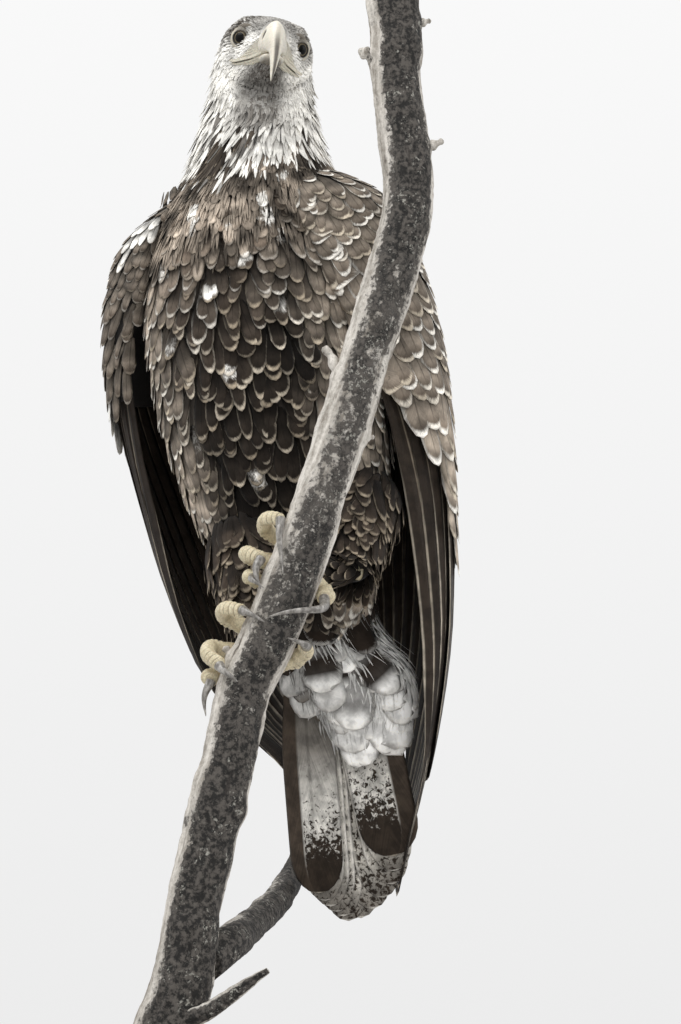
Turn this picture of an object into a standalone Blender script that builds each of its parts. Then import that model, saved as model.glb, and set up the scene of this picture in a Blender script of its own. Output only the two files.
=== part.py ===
"""A life-size bald eagle in its mottled third-year plumage, upright on a steep cut branch, on a display stand.

The model stands on the floor at z = 0. +Z is up, the bird faces -Y, and the bird's left is towards +X.
Everything is in metres. Run it with: blender --background --python part.py
"""

import math

import bpy
import numpy as np

# ---------------------------------------------------------------- driving dimensions

BODY_CENTRE = np.array([-0.028, 0.075, 0.872])  # middle of the trunk
BODY_YAW = math.radians(15.0)  # breast turned to the bird's own right of -Y
BODY_LEAN = math.radians(13.0)  # shoulders ahead of the tail
BODY_ROLL = math.radians(6.0)  # shoulders tipped to the bird's right

EYE_MIDDLE = np.array([-0.0282, -0.045, 1.1602])  # halfway between the eyes
HEAD_YAW = math.radians(8.3)  # bill turned to the bird's left of -Y
HEAD_PITCH = math.radians(-15.3)  # bill pointing down
HEAD_ROLL = math.radians(7.4)  # crown tipped to the bird's left

EYE_RADIUS = 0.0106
EYE_OUT = 0.0242  # sideways from the head's middle plane to an eye's centre
EYE_BACK = -0.0080  # ahead of the eye line, so an eye's centre lies behind it
EYE_UP = 0.0000

TOE_RADIUS = 0.0080

PLAY = 0.0004  # the gap between solids that meet

BASE_CENTRE = (-0.045, 0.015)
BASE_RADIUS = 0.200
BASE_HEIGHT = 0.030
ROD_RADIUS = 0.010

FACETS = 24  # round the trunk, the neck and the head


# ---------------------------------------------------------------- frames

def frame_of(yaw, pitch, roll):
    """Unit vectors (left, forward, up) of a bird that faces -Y, turned by yaw, then pitched and rolled.

    A positive yaw turns it to its own left, a positive pitch lifts what is in front, and a positive roll
    tips its top to its own left."""
    forward = np.array([math.sin(yaw), -math.cos(yaw), 0.0])
    left = np.array([math.cos(yaw), math.sin(yaw), 0.0])
    up = np.array([0.0, 0.0, 1.0])
    forward, up = (
        math.cos(pitch) * forward + math.sin(pitch) * up,
        math.cos(pitch) * up - math.sin(pitch) * forward,
    )
    left, up = (
        math.cos(roll) * left - math.sin(roll) * up,
        math.cos(roll) * up + math.sin(roll) * left,
    )
    return np.array([left, forward, up])


BODY = frame_of(-BODY_YAW, -BODY_LEAN, -BODY_ROLL)
HEAD = frame_of(HEAD_YAW, HEAD_PITCH, HEAD_ROLL)


def on_body(left, forward, up):
    """The world point with these coordinates in the trunk's frame. Arrays give arrays of points."""
    return BODY_CENTRE + np.stack(np.broadcast_arrays(left, forward, up), -1) @ BODY


def on_head(left, forward, up):
    """The world point with these coordinates in the head's frame."""
    return EYE_MIDDLE + np.stack(np.broadcast_arrays(left, forward, up), -1) @ HEAD


def smooth(at, knots, values):
    """A cubic Hermite curve through values at knots, whose slopes come from the neighbouring knots."""
    knots = np.asarray(knots, float)
    values = np.asarray(values, float).reshape(len(knots), -1)
    slopes = np.gradient(values, knots, axis=0)
    at = np.clip(np.atleast_1d(np.asarray(at, float)), knots[0], knots[-1])
    shape = at.shape
    at = at.ravel()
    i = np.clip(np.searchsorted(knots, at, side="right") - 1, 0, len(knots) - 2)
    width = (knots[i + 1] - knots[i])[:, None]
    t = (at - knots[i])[:, None] / width
    curve = (
        (2 * t**3 - 3 * t**2 + 1) * values[i]
        + (t**3 - 2 * t**2 + t) * width * slopes[i]
        + (3 * t**2 - 2 * t**3) * values[i + 1]
        + (t**3 - t**2) * width * slopes[i + 1]
    )
    return curve.reshape(*shape, -1)


# ---------------------------------------------------------------- the trunk, neck and head

# Each section lies across the body: how far its frame has gone from the head's (0) to the trunk's (1), its
# centre, the angle that turns its belly side from forward (0) to down (90), its half width, its depth to the
# belly side and to the back, and how square it is (2 is an ellipse).
SECTIONS = [
    (0.00, on_head(0.000, 0.0330, -0.0010), 90, 0.0125, 0.0185, 0.0150, 2.2),
    (0.00, on_head(0.000, 0.0200, -0.0010), 90, 0.0190, 0.0230, 0.0205, 2.3),
    (0.00, on_head(0.000, 0.0060, -0.0010), 90, 0.0285, 0.0290, 0.0255, 2.3),
    (0.00, on_head(0.000, -0.0090, -0.0010), 88, 0.0385, 0.0340, 0.0290, 2.3),
    (0.02, on_head(0.000, -0.0260, -0.0030), 80, 0.0435, 0.0385, 0.0320, 2.2),
    (0.12, on_head(0.000, -0.0410, -0.0140), 62, 0.0450, 0.0430, 0.0350, 2.1),
    (0.38, np.array([-0.0385, 0.0100, 1.1330]), 38, 0.0490, 0.0470, 0.0390, 2.0),
    (0.66, np.array([-0.0415, 0.0060, 1.1050]), 20, 0.0550, 0.0510, 0.0470, 2.0),
    (0.88, np.array([-0.0435, 0.0170, 1.0700]), 8, 0.0660, 0.0610, 0.0580, 2.0),
    (1.00, np.array([-0.0450, 0.0360, 1.0300]), 0, 0.0880, 0.0840, 0.0760, 2.0),
    (1.00, on_body(0.0020, 0.0000, 0.1100), 0, 0.1080, 0.1020, 0.0860, 2.05),
    (1.00, on_body(0.0000, 0.0000, 0.0450), 0, 0.1140, 0.1080, 0.0900, 2.1),
    (1.00, on_body(0.0000, 0.0000, -0.0350), 0, 0.1120, 0.1030, 0.0880, 2.1),
    (1.00, on_body(0.0000, 0.0000, -0.1050), 0, 0.0990, 0.0880, 0.0800, 2.1),
    (1.00, on_body(0.0000, -0.0020, -0.1650), 0, 0.0820, 0.0680, 0.0700, 2.1),
    (1.00, on_body(0.0000, -0.0060, -0.2150), 0, 0.0640, 0.0500, 0.0560, 2.1),
    (1.00, on_body(0.0000, -0.0120, -0.2500), 0, 0.0500, 0.0380, 0.0420, 2.0),
]
HEAD_ENDS, NECK_ENDS = 5.6, 8.6  # where the head and the neck end, counted in sections from the bill
LAST_SECTION = len(SECTIONS) - 1

# Rises and hollows of the head: section, angle round from the throat, how far out, and how wide each way.
BROW = (2.45, 124.0, 0.0030, 0.75, 13.0)
EYE_HOLLOW = (2.55, 94.0, -0.0040, 0.85, 15.0)
CHEEK = (3.6, 62.0, 0.0022, 0.9, 20.0)
CROWN = (3.0, 170.0, -0.0022, 1.6, 45.0)
THROAT = (5.5, 0.0, 0.0065, 0.75, 50.0)
RELIEF = (BROW, EYE_HOLLOW, CHEEK, CROWN, THROAT)
# The throat is filled out level, along -Y: how far, at which section, and over how many sections.
THROAT_FILL, FILL_AT, FILL_LONG = 0.0115, 5.35, 0.95


def section_frame(row):
    """(centre, left, belly direction) of one section, in world coordinates."""
    share, centre, degrees = row[:3]
    left, forward, _ = (1 - share) * HEAD + share * BODY
    left = left / np.linalg.norm(left)
    forward = forward - forward.dot(left) * left
    forward = forward / np.linalg.norm(forward)
    turn = math.radians(degrees)
    return np.concatenate([centre, left, math.cos(turn) * forward - math.sin(turn) * np.cross(forward, left)])


SECTION_FRAMES = np.array([section_frame(row) for row in SECTIONS])
SECTION_SIZES = np.array([row[3:] for row in SECTIONS])
SECTION_COUNT = np.arange(len(SECTIONS))


def oval(angle, half_width, front, back, square):
    """The radius at an angle from the front of an oval with unlike front and back depths."""
    across = np.abs(np.sin(angle)) / half_width
    along = np.abs(np.cos(angle)) / np.where(np.cos(angle) > 0, front, back)
    return (across**square + along**square) ** (-1 / square)


def relief(place, angle):
    """How far the head's brows, eye hollows and cheeks stand out of its ovals."""
    height = np.zeros(np.broadcast(place, angle).shape)
    round_ = np.degrees(np.abs((angle + np.pi) % (2 * np.pi) - np.pi))
    for section, middle, out, long, wide in RELIEF:
        height = height + out * np.exp(-(((place - section) / long) ** 2) - ((round_ - middle) / wide) ** 2)
    return height


def body_point(place, angle, out=0.0):
    """The world point of the body's outside at a place along it, counted in sections, and an angle round it
    from the belly towards the bird's left. out moves it outwards."""
    place, angle = np.broadcast_arrays(np.asarray(place, float), np.asarray(angle, float))
    frames = smooth(place, SECTION_COUNT, SECTION_FRAMES)
    sizes = smooth(place, SECTION_COUNT, SECTION_SIZES)
    centre, left, belly = frames[..., :3], frames[..., 3:6], frames[..., 6:]
    left = left / np.linalg.norm(left, axis=-1, keepdims=True)
    belly = belly - (belly * left).sum(-1, keepdims=True) * left
    belly = belly / np.linalg.norm(belly, axis=-1, keepdims=True)
    radius = oval(angle, *np.moveaxis(sizes, -1, 0)) + relief(place, angle) + out
    round_ = np.degrees(np.abs((angle + np.pi) % (2 * np.pi) - np.pi))
    share = np.clip((105 - round_) / 60, 0, 1)
    fill = THROAT_FILL * np.exp(-(((place - FILL_AT) / FILL_LONG) ** 2)) * share * share * (3 - 2 * share)
    centre = centre - fill[..., None] * np.array([0.0, 1.0, 0.0])
    return centre + radius[..., None] * (
        np.sin(angle)[..., None] * left + np.cos(angle)[..., None] * belly
    )


def trunk_radius(up, angle):
    """The trunk's radius about its axis at a height in its frame, for the wings to lie against."""
    rows = [(-(row[1] - BODY_CENTRE).dot(BODY[2]), *row[3:]) for row in SECTIONS if row[0] == 1]
    sizes = smooth(-np.asarray(up), [row[0] for row in rows], [row[1:] for row in rows])
    return oval(angle, *np.moveaxis(sizes, -1, 0))


# ---------------------------------------------------------------- the wings

# Heights along a folded wing in the trunk's frame, with the wing's half width from the trunk's axis there,
# its depth behind the axis, its depth ahead of it, and the angles of its front and back edges.
LEFT_WING = [
    (0.186, 0.098, 0.074, 0.072, 52, 160),
    (0.160, 0.128, 0.090, 0.082, 48, 164),
    (0.110, 0.152, 0.104, 0.088, 50, 167),
    (0.030, 0.166, 0.112, 0.084, 60, 169),
    (-0.045, 0.166, 0.113, 0.078, 66, 170),
    (-0.115, 0.159, 0.111, 0.072, 70, 171),
    (-0.190, 0.148, 0.106, 0.064, 73, 172),
    (-0.265, 0.133, 0.098, 0.052, 77, 172),
    (-0.345, 0.108, 0.086, 0.038, 84, 172),
    (-0.400, 0.087, 0.077, 0.026, 92, 172),
    (-0.455, 0.062, 0.068, 0.016, 106, 172),
    (-0.506, 0.042, 0.058, 0.010, 126, 172),
]
RIGHT_WING = [
    (0.178, 0.090, 0.074, 0.070, 54, 160),
    (0.155, 0.120, 0.090, 0.078, 54, 164),
    (0.105, 0.149, 0.104, 0.080, 60, 167),
    (0.040, 0.163, 0.112, 0.072, 72, 169),
    (-0.025, 0.164, 0.113, 0.062, 76, 170),
    (-0.105, 0.156, 0.111, 0.052, 79, 171),
    (-0.190, 0.143, 0.106, 0.046, 82, 172),
    (-0.265, 0.122, 0.098, 0.038, 86, 172),
    (-0.331, 0.088, 0.086, 0.030, 100, 172),
    (-0.359, 0.070, 0.082, 0.024, 114, 172),
    (-0.387, 0.060, 0.078, 0.020, 128, 172),
    (-0.430, 0.046, 0.070, 0.014, 146, 174),
    (-0.470, 0.040, 0.064, 0.010, 152, 175),
]
WING_ROWS, WING_COLUMNS = 19, 9
BACK_SHARE = 0.80  # how far down the wing its back edge, the tertials, reaches
SHOULDER_THICK, TIP_THICK = 0.060, 0.0030


def wing_grid(table, side, down, across):
    """(outside, inside) points of a folded wing. down runs from the shoulder to the tip, across from the
    front edge to the edge on the back, and side is 1 for the left wing and -1 for the right one."""
    table = np.array(table)
    top, tip = table[0, 0], table[-1, 0]
    reach = 1 - (1 - BACK_SHARE) * np.clip((across - 0.45) / 0.55, 0, 1) ** 1.5
    up = top + (tip - top) * down * reach
    wide, back, front, first, last = np.moveaxis(smooth(-up, -table[:, 0], table[:, 1:]), -1, 0)
    angle = np.radians(first + (last - first) * across)
    outside = oval(angle, wide, front, back, 2.15)
    thick = TIP_THICK + (SHOULDER_THICK - TIP_THICK) * np.clip(1 - down / 0.62, 0, 1) ** 1.6
    rim = np.clip(1 - np.abs(2 * across - 1) ** 6, 0.16, 1) * np.clip(down / 0.05 + 0.10, 0, 1)
    inside = np.maximum(outside - thick * rim - 0.0008, np.minimum(trunk_radius(up, angle) + PLAY, outside - 0.0008))
    shoulder_round = 0.010 * np.clip(1 - down / 0.06, 0, 1) ** 2
    turn = np.sin(angle) * side, np.cos(angle)
    return [
        on_body((radius - shoulder_round) * turn[0], (radius - shoulder_round) * turn[1], up)
        for radius in (outside, inside)
    ]


# ---------------------------------------------------------------- meshes

def material(name, colour, roughness, metallic=0.0):
    """A plain Principled material."""
    made = bpy.data.materials.new(name)
    made.use_nodes = True
    shader = made.node_tree.nodes["Principled BSDF"]
    shader.inputs["Base Color"].default_value = (*colour, 1.0)
    shader.inputs["Roughness"].default_value = roughness
    shader.inputs["Metallic"].default_value = metallic
    made.diffuse_color = (*colour, 1.0)
    return made


def add_mesh(name, points, faces, finish, collection):
    """A smooth-shaded mesh object, with its faces turned outwards."""
    mesh = bpy.data.meshes.new(name)
    mesh.from_pydata([tuple(map(float, p)) for p in points], [], faces)
    mesh.update()
    signed = 0.0
    for face in mesh.polygons:
        corners = [mesh.vertices[i].co for i in face.vertices]
        for a, b in zip(corners[1:], corners[2:]):
            signed += corners[0].dot(a.cross(b))
    if signed < 0:
        mesh.flip_normals()
    mesh.shade_smooth()
    mesh.materials.append(finish)
    made = bpy.data.objects.new(name, mesh)
    collection.objects.link(made)
    return made


def loft(name, rings, finish, collection):
    """A closed solid through rings of equal counts, each closed round, with a fan of triangles at either end."""
    rings = np.asarray(rings)
    count, round_ = rings.shape[:2]
    faces = [
        (i * round_ + j, i * round_ + (j + 1) % round_, (i + 1) * round_ + (j + 1) % round_, (i + 1) * round_ + j)
        for i in range(count - 1)
        for j in range(round_)
    ]
    first, last = count * round_, (count - 1) * round_
    faces += [(first, (j + 1) % round_, j) for j in range(round_)]
    faces += [(first + 1, last + j, last + (j + 1) % round_) for j in range(round_)]
    points = np.concatenate([rings.reshape(-1, 3), rings[:1].mean(axis=1), rings[-1:].mean(axis=1)])
    return add_mesh(name, points, faces, finish, collection)


def thick_sheet(name, outside, inside, finish, collection):
    """A closed solid between two grids of points, stitched along its four sides."""
    rows, columns = outside.shape[:2]
    inner = rows * columns

    def at(i, j, layer):
        return layer * inner + i * columns + j

    faces = []
    for i in range(rows - 1):
        for j in range(columns - 1):
            quad = [(i, j), (i, j + 1), (i + 1, j + 1), (i + 1, j)]
            faces.append(tuple(at(*c, 0) for c in quad))
            faces.append(tuple(at(*c, 1) for c in reversed(quad)))
    border = [(0, j) for j in range(columns)] + [(i, columns - 1) for i in range(1, rows)]
    border += [(rows - 1, j) for j in range(columns - 2, -1, -1)] + [(i, 0) for i in range(rows - 2, 0, -1)]
    for a, b in zip(border, border[1:] + border[:1]):
        faces.append((at(*b, 0), at(*a, 0), at(*a, 1), at(*b, 1)))
    points = np.concatenate([outside.reshape(-1, 3), inside.reshape(-1, 3)])
    return add_mesh(name, points, faces, finish, collection)


def frames_along(path, first_side):
    """Unit tangents and two cross directions along a path, carried along it without twisting."""
    tangents = np.gradient(path, axis=0)
    tangents /= np.linalg.norm(tangents, axis=1, keepdims=True)
    sides = []
    side = np.asarray(first_side, float)
    for tangent in tangents:
        side = side - side.dot(tangent) * tangent
        side = side / np.linalg.norm(side)
        sides.append(side)
    sides = np.array(sides)
    return tangents, sides, np.cross(tangents, sides)


def rings_along(path, radii, facets, first_side=(0.0, 0.0, 1.0)):
    """Rings of points across a path, with their own radius at each of its points."""
    path = np.asarray(path, float)
    _, sides, others = frames_along(path, first_side)
    turn = np.linspace(0, 2 * np.pi, facets, endpoint=False)[None, :, None]
    radii = np.asarray(radii, float)[:, None, None]
    return path[:, None] + radii * (np.cos(turn) * sides[:, None] + np.sin(turn) * others[:, None])


def tube(name, path, radii, finish, collection, facets=12, first_side=(0.0, 0.0, 1.0)):
    """A round solid along a path, with its own radius at each point."""
    return loft(name, rings_along(path, radii, facets, first_side), finish, collection)


def cut(target, cutter):
    """Takes the cutter out of the target."""
    cutter.hide_render = True
    cutter.display_type = "WIRE"
    step = target.modifiers.new("cut", "BOOLEAN")
    step.operation = "DIFFERENCE"
    step.object = cutter


# ---------------------------------------------------------------- the head's own pieces

def body_length(name, first, last, rings, finish, collection, out=0.0):
    """One length of the body, between two places counted in sections."""
    places = np.linspace(first, last, rings)
    angles = np.linspace(0, 2 * np.pi, FACETS, endpoint=False)
    return loft(name, body_point(places[:, None], angles[None, :], out), finish, collection)


def eye_centre(side):
    return on_head(side * EYE_OUT, EYE_BACK, EYE_UP)


def ball(name, centre, radius, finish, collection, segments=12, rings=8):
    """A ball whose poles look along the world's Y."""
    bpy.ops.mesh.primitive_uv_sphere_add(
        segments=segments, ring_count=rings, radius=radius, location=tuple(centre), rotation=(math.pi / 2, 0, 0)
    )
    made = bpy.context.object
    made.name = name
    made.data.name = name
    for holder in list(made.users_collection):
        holder.objects.unlink(made)
    collection.objects.link(made)
    made.data.materials.append(finish)
    made.data.shade_smooth()
    return made


# The upper bill's profile in the head's frame: the culmen's forward and up, the cutting edge's forward and
# up, and the half width there.
UPPER_BILL = [
    (0.0340, 0.0096, 0.0340, -0.0180, 0.0120),
    (0.0430, 0.0110, 0.0430, -0.0186, 0.0113),
    (0.0515, 0.0108, 0.0510, -0.0190, 0.0101),
    (0.0590, 0.0085, 0.0562, -0.0200, 0.0087),
    (0.0652, 0.0016, 0.0600, -0.0224, 0.0071),
    (0.0698, -0.0080, 0.0630, -0.0265, 0.0054),
    (0.0724, -0.0200, 0.0655, -0.0325, 0.0040),
    (0.0732, -0.0320, 0.0678, -0.0390, 0.0027),
    (0.0724, -0.0430, 0.0700, -0.0452, 0.0013),
    (0.0716, -0.0480, 0.0712, -0.0484, 0.0004),
]
LOWER_BILL = [
    (0.0340, -0.0192, 0.0340, -0.0265, 0.0105),
    (0.0430, -0.0196, 0.0430, -0.0262, 0.0098),
    (0.0500, -0.0200, 0.0500, -0.0254, 0.0076),
    (0.0548, -0.0210, 0.0545, -0.0240, 0.0045),
]


def bill_half(name, table, rings, flare, finish, collection, facets=14, square=2.3):
    """One half of the bill: ovals between its upper and lower profile lines, with the table's widths. flare
    widens their lower side by that share, and narrows the upper one."""
    count = np.linspace(0, len(table) - 1, rings)
    rows = smooth(count, np.arange(len(table)), table)
    turn = np.linspace(0, 2 * np.pi, facets, endpoint=False)[None, :]
    height = np.sign(np.cos(turn)) * np.abs(np.cos(turn)) ** (2 / square) / 2
    side = np.sign(np.sin(turn)) * np.abs(np.sin(turn)) ** (2 / square) * (1 - flare * (2 * height))
    forward = (rows[:, 0:1] + rows[:, 2:3]) / 2 + height * (rows[:, 0:1] - rows[:, 2:3])
    up = (rows[:, 1:2] + rows[:, 3:4]) / 2 + height * (rows[:, 1:2] - rows[:, 3:4])
    return loft(name, on_head(side * rows[:, 4:5], forward, up), finish, collection)


# ---------------------------------------------------------------- the tail

TAIL_ROOT_UP, TAIL_FORWARD_ROOT, TAIL_FORWARD_TIP = -0.2516, -0.024, -0.031
FEATHER_THICK, FEATHER_STEP, TAIL_CURVE = 0.0012, 0.0019, 2.0
# Groups of tail feathers: name, sideways place of the root and the tip, half width, tip height, layer.
TAIL_GROUPS = [
    ("tail_left_outer", 0.018, 0.040, 0.0180, -0.450, 3),
    ("tail_left_inner", 0.010, 0.022, 0.0210, -0.462, 1),
    ("tail_centre", 0.000, -0.018, 0.0270, -0.513, 0),
    ("tail_right_inner", -0.008, -0.036, 0.0220, -0.496, 2),
    ("tail_right_outer", -0.016, -0.046, 0.0180, -0.482, 4),
]
# The soft coverts over the tail's root, below and above it: height, middle, half width and depth.
UNDER_COVERTS = [
    (-0.2516, 0.008, 0.056, 0.038),
    (-0.2850, 0.018, 0.064, 0.034),
    (-0.3250, 0.020, 0.060, 0.024),
    (-0.3550, 0.020, 0.048, 0.013),
    (-0.3780, 0.016, 0.026, 0.004),
]
UPPER_COVERTS = [
    (-0.2516, 0.000, 0.042, 0.024),
    (-0.2900, 0.000, 0.038, 0.018),
    (-0.3250, 0.000, 0.028, 0.010),
    (-0.3450, 0.000, 0.014, 0.004),
]


def tail_plane(side, up, layer):
    """How far forward a layer of tail feathers lies, in the trunk's frame."""
    down = (np.asarray(up) - TAIL_ROOT_UP) / (-0.513 - TAIL_ROOT_UP)
    return TAIL_FORWARD_ROOT + (TAIL_FORWARD_TIP - TAIL_FORWARD_ROOT) * down + layer * FEATHER_STEP - TAIL_CURVE * side**2


def tail_group(name, root_side, tip_side, half_width, tip_up, layer, finish, collection):
    """A slab as wide as a few closed tail feathers, with a rounded tip."""
    along = np.concatenate([np.linspace(0, 0.86, 5), 1 - 0.14 * (1 - np.sin(np.linspace(0.35, np.pi / 2, 4)))])
    down, wide = np.meshgrid(along, np.linspace(-1, 1, 6), indexing="ij")
    taper = np.sqrt(np.clip(1 - (np.clip(down - 0.86, 0, 1) / 0.145) ** 2, 0.02, 1)) * (0.72 + 0.28 * down**0.6)
    side = root_side + (tip_side - root_side) * down + wide * half_width * taper
    up = TAIL_ROOT_UP + (tip_up - TAIL_ROOT_UP) * down
    forward = tail_plane(side, up, layer)
    front = on_body(side, forward + FEATHER_THICK / 2, up)
    rear = on_body(side, forward - FEATHER_THICK / 2, up)
    return thick_sheet(name, front, rear, finish, collection)


def tail_coverts(name, table, way, layer, finish, collection):
    """A soft tapering mound that lies on the tail's root, ahead of it (way 1) or behind it (way -1)."""
    rings = []
    for up, middle, wide, deep in table:
        turn = np.linspace(-np.pi / 2, np.pi / 2, 9)
        side = middle + np.concatenate([np.sin(turn), np.linspace(0.75, -0.75, 7)]) * wide
        out = np.concatenate([np.cos(turn) * deep, np.zeros(7)])
        rest = tail_plane(side, up, layer) + way * (FEATHER_THICK / 2 + PLAY)
        rings.append(on_body(side, rest + way * (out + 0.0004), up))
    return loft(name, rings, finish, collection)


# ---------------------------------------------------------------- the perch

# The stem's middle line (x, y, z) and radius, from its cut foot up.
STEM = [
    (-0.1290, -0.0575, 0.2000, 0.0275),
    (-0.1077, -0.0600, 0.2603, 0.0262),
    (-0.0934, -0.0626, 0.3069, 0.0252),
    (-0.0875, -0.0652, 0.3541, 0.0238),
    (-0.0769, -0.0680, 0.4041, 0.0232),
    (-0.0656, -0.0709, 0.4547, 0.0228),
    (-0.0588, -0.0723, 0.4802, 0.0226),
    (-0.0482, -0.0752, 0.5315, 0.0226),
    (-0.0425, -0.0762, 0.5488, 0.0228),
    (-0.0262, -0.0780, 0.5825, 0.0240),
    (-0.0145, -0.0798, 0.6139, 0.0242),
    (-0.0002, -0.0820, 0.6507, 0.0234),
    (0.0110, -0.0838, 0.6815, 0.0226),
    (0.0172, -0.0852, 0.7037, 0.0226),
    (0.0291, -0.0873, 0.7384, 0.0222),
    (0.0440, -0.0902, 0.7887, 0.0222),
    (0.0544, -0.0922, 0.8213, 0.0214),
    (0.0655, -0.0943, 0.8587, 0.0216),
    (0.0775, -0.0964, 0.8973, 0.0226),
    (0.0876, -0.0978, 0.9318, 0.0222),
    (0.0952, -0.0992, 0.9674, 0.0225),
    (0.0968, -0.1005, 1.0033, 0.0223),
    (0.0925, -0.1019, 1.0376, 0.0220),
    (0.0884, -0.1033, 1.0759, 0.0220),
    (0.0865, -0.1044, 1.1049, 0.0225),
    (0.0868, -0.1055, 1.1340, 0.0232),
    (0.0823, -0.1075, 1.1860, 0.0236),
]
# A side branch that runs back past the tail, cut off behind it, and a broken stub below it.
FORK = [
    (-0.0769, -0.058, 0.3116, 0.0170),
    (-0.0590, -0.030, 0.3299, 0.0158),
    (-0.0432, 0.050, 0.3552, 0.0144),
    (-0.0294, 0.120, 0.3785, 0.0136),
    (-0.0200, 0.185, 0.4001, 0.0128),
    (-0.0127, 0.238, 0.4217, 0.0122),
    (-0.0028, 0.272, 0.4450, 0.0118),
    (0.0045, 0.300, 0.4649, 0.0114),
]
STUB = [
    (-0.1080, -0.066, 0.2590, 0.0100),
    (-0.0780, -0.082, 0.2660, 0.0072),
    (-0.0480, -0.094, 0.2840, 0.0056),
    (-0.0230, -0.102, 0.3000, 0.0028),
]
# Knots on the stem: height, angle round from the side that faces the bird, and size.
KNOTS = [
    (1.100, 108.0, 0.0090),
    (0.985, -82.0, 0.0075),
    (0.668, 172.0, 0.0085),
    (0.745, 104.0, 0.0078),
    (0.510, 96.0, 0.0065),
]


def stem_at(height):
    """(middle, up direction, radius) of the stem where it passes a height."""
    rows = np.array(STEM)
    row = smooth([height], rows[:, 2], rows)[0]
    ahead = smooth([height + 0.002], rows[:, 2], rows)[0][:3] - smooth([height - 0.002], rows[:, 2], rows)[0][:3]
    return row[:3], ahead / np.linalg.norm(ahead), row[3]


def round_stem(height, degrees, out):
    """A point off the stem's skin, at an angle from the bird's side of it towards the bird's right."""
    middle, ahead, radius = stem_at(height)
    behind = np.array([0.0, 1.0, 0.0])
    behind = behind - behind.dot(ahead) * ahead
    behind = behind / np.linalg.norm(behind)
    right = np.cross(behind, ahead)
    right = right if right[0] < 0 else -right
    turn = math.radians(degrees)
    return middle + (radius + out) * (math.cos(turn) * behind + math.sin(turn) * right)


def wood_tube(name, table, rings, finish, collection, facets=16, grow=0.0):
    count = np.linspace(0, len(table) - 1, rings)
    rows = smooth(count, np.arange(len(table)), table)
    return tube(name, rows[:, :3], rows[:, 3] + grow, finish, collection, facets, (0.0, 1.0, 0.0))


# ---------------------------------------------------------------- the legs

# A toe goes round the stem: name, where it starts and ends round it (degrees from the bird's side towards the
# bird's right), its rise above the foot at its start and end, its thickness, how far its knuckle stands off
# the bark, and its claw's turn, rise and arch.
TOES = {
    "left": [
        ("inner", 22, 120, 0.014, 0.027, 1.00, 0.012, 30, -0.036, 0.002),
        ("middle", 26, 104, -0.002, -0.010, 1.05, 0.019, 20, -0.020, 0.004),
        ("outer", 20, 94, -0.020, -0.026, 0.95, 0.008, 30, -0.006, 0.003),
        ("hind", -26, -86, -0.006, -0.020, 1.10, 0.003, -66, -0.030, 0.013),
    ],
    "right": [
        ("inner", 22, 118, 0.018, 0.026, 1.00, 0.017, 32, -0.004, 0.002),
        ("middle", 26, 124, -0.001, -0.022, 1.05, 0.013, 28, -0.006, 0.003),
        ("outer", 22, 86, -0.019, -0.031, 0.95, 0.010, 6, -0.022, 0.003),
        ("hind", -26, -84, 0.004, 0.019, 1.10, 0.002, -36, -0.002, 0.003),
    ],
}
FOOT_HEIGHT = {"left": 0.652, "right": 0.571}
PAD_OUT = 0.0120  # how far the foot's pad stands off the bark
PAD_RADIUS = 0.0100
KNEES = {"left": (0.052, 0.050, 0.735), "right": (-0.046, 0.055, 0.690)}
ANKLES = {"left": (0.046, -0.004, 0.664), "right": (-0.034, 0.004, 0.598)}
TOE_STEPS, CLAW_STEPS = 8, 6


def toe_path(height, start, end, rise_start, rise_end, out, lift):
    """Points round the stem from one angle to another, while they rise. lift adds to out at each of them."""
    return np.array(
        [
            round_stem(height + rise_start + (rise_end - rise_start) * t, start + (end - start) * t, out + more)
            for t, more in zip(np.linspace(0, 1, len(lift)), lift)
        ]
    )


def add_foot(side, finish, claw_finish, collection):
    """The four toes and claws of one foot, wrapped round the stem."""
    height = FOOT_HEIGHT[side]
    for name, start, end, low, high, size, bulge, claw_turn, claw_rise, arch in TOES[side]:
        radius = TOE_RADIUS * size
        share = np.linspace(0, 1, TOE_STEPS)
        toe = toe_path(height, start, end, low, high, radius + 0.0006, bulge * np.sin(share * np.pi) ** 1.4)
        claw = toe_path(height, end, end + claw_turn, high, high + claw_rise, radius + 0.0006, np.zeros(CLAW_STEPS))
        share = np.linspace(0, 1, CLAW_STEPS)
        middle = np.array([stem_at(height + high + claw_rise * t)[0] for t in share])
        away = claw - middle
        away = away / np.linalg.norm(away, axis=1, keepdims=True)
        claw = claw + away * (arch * np.sin(share * np.pi) ** 1.4 - 0.55 * radius * share)[:, None]
        toe_radii = radius * (1 - 0.16 * np.linspace(0, 1, TOE_STEPS))
        claw_radii = radius * 0.66 * (1 - share**1.3 * 0.90)
        whole = np.concatenate([toe, claw[1:]])
        rings = rings_along(whole, np.concatenate([toe_radii, claw_radii[1:]]), 8)
        loft(f"toe_{side}_{name}", rings[:TOE_STEPS], finish, collection)
        ahead = whole[TOE_STEPS] - whole[TOE_STEPS - 2]
        ahead = ahead / np.linalg.norm(ahead)
        root = toe[-1] + (rings[TOE_STEPS - 1] - toe[-1]) * (claw_radii[0] / toe_radii[-1]) + ahead * 4 * PLAY
        loft(f"claw_{side}_{name}", [root, *rings[TOE_STEPS:]], claw_finish, collection)


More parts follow.
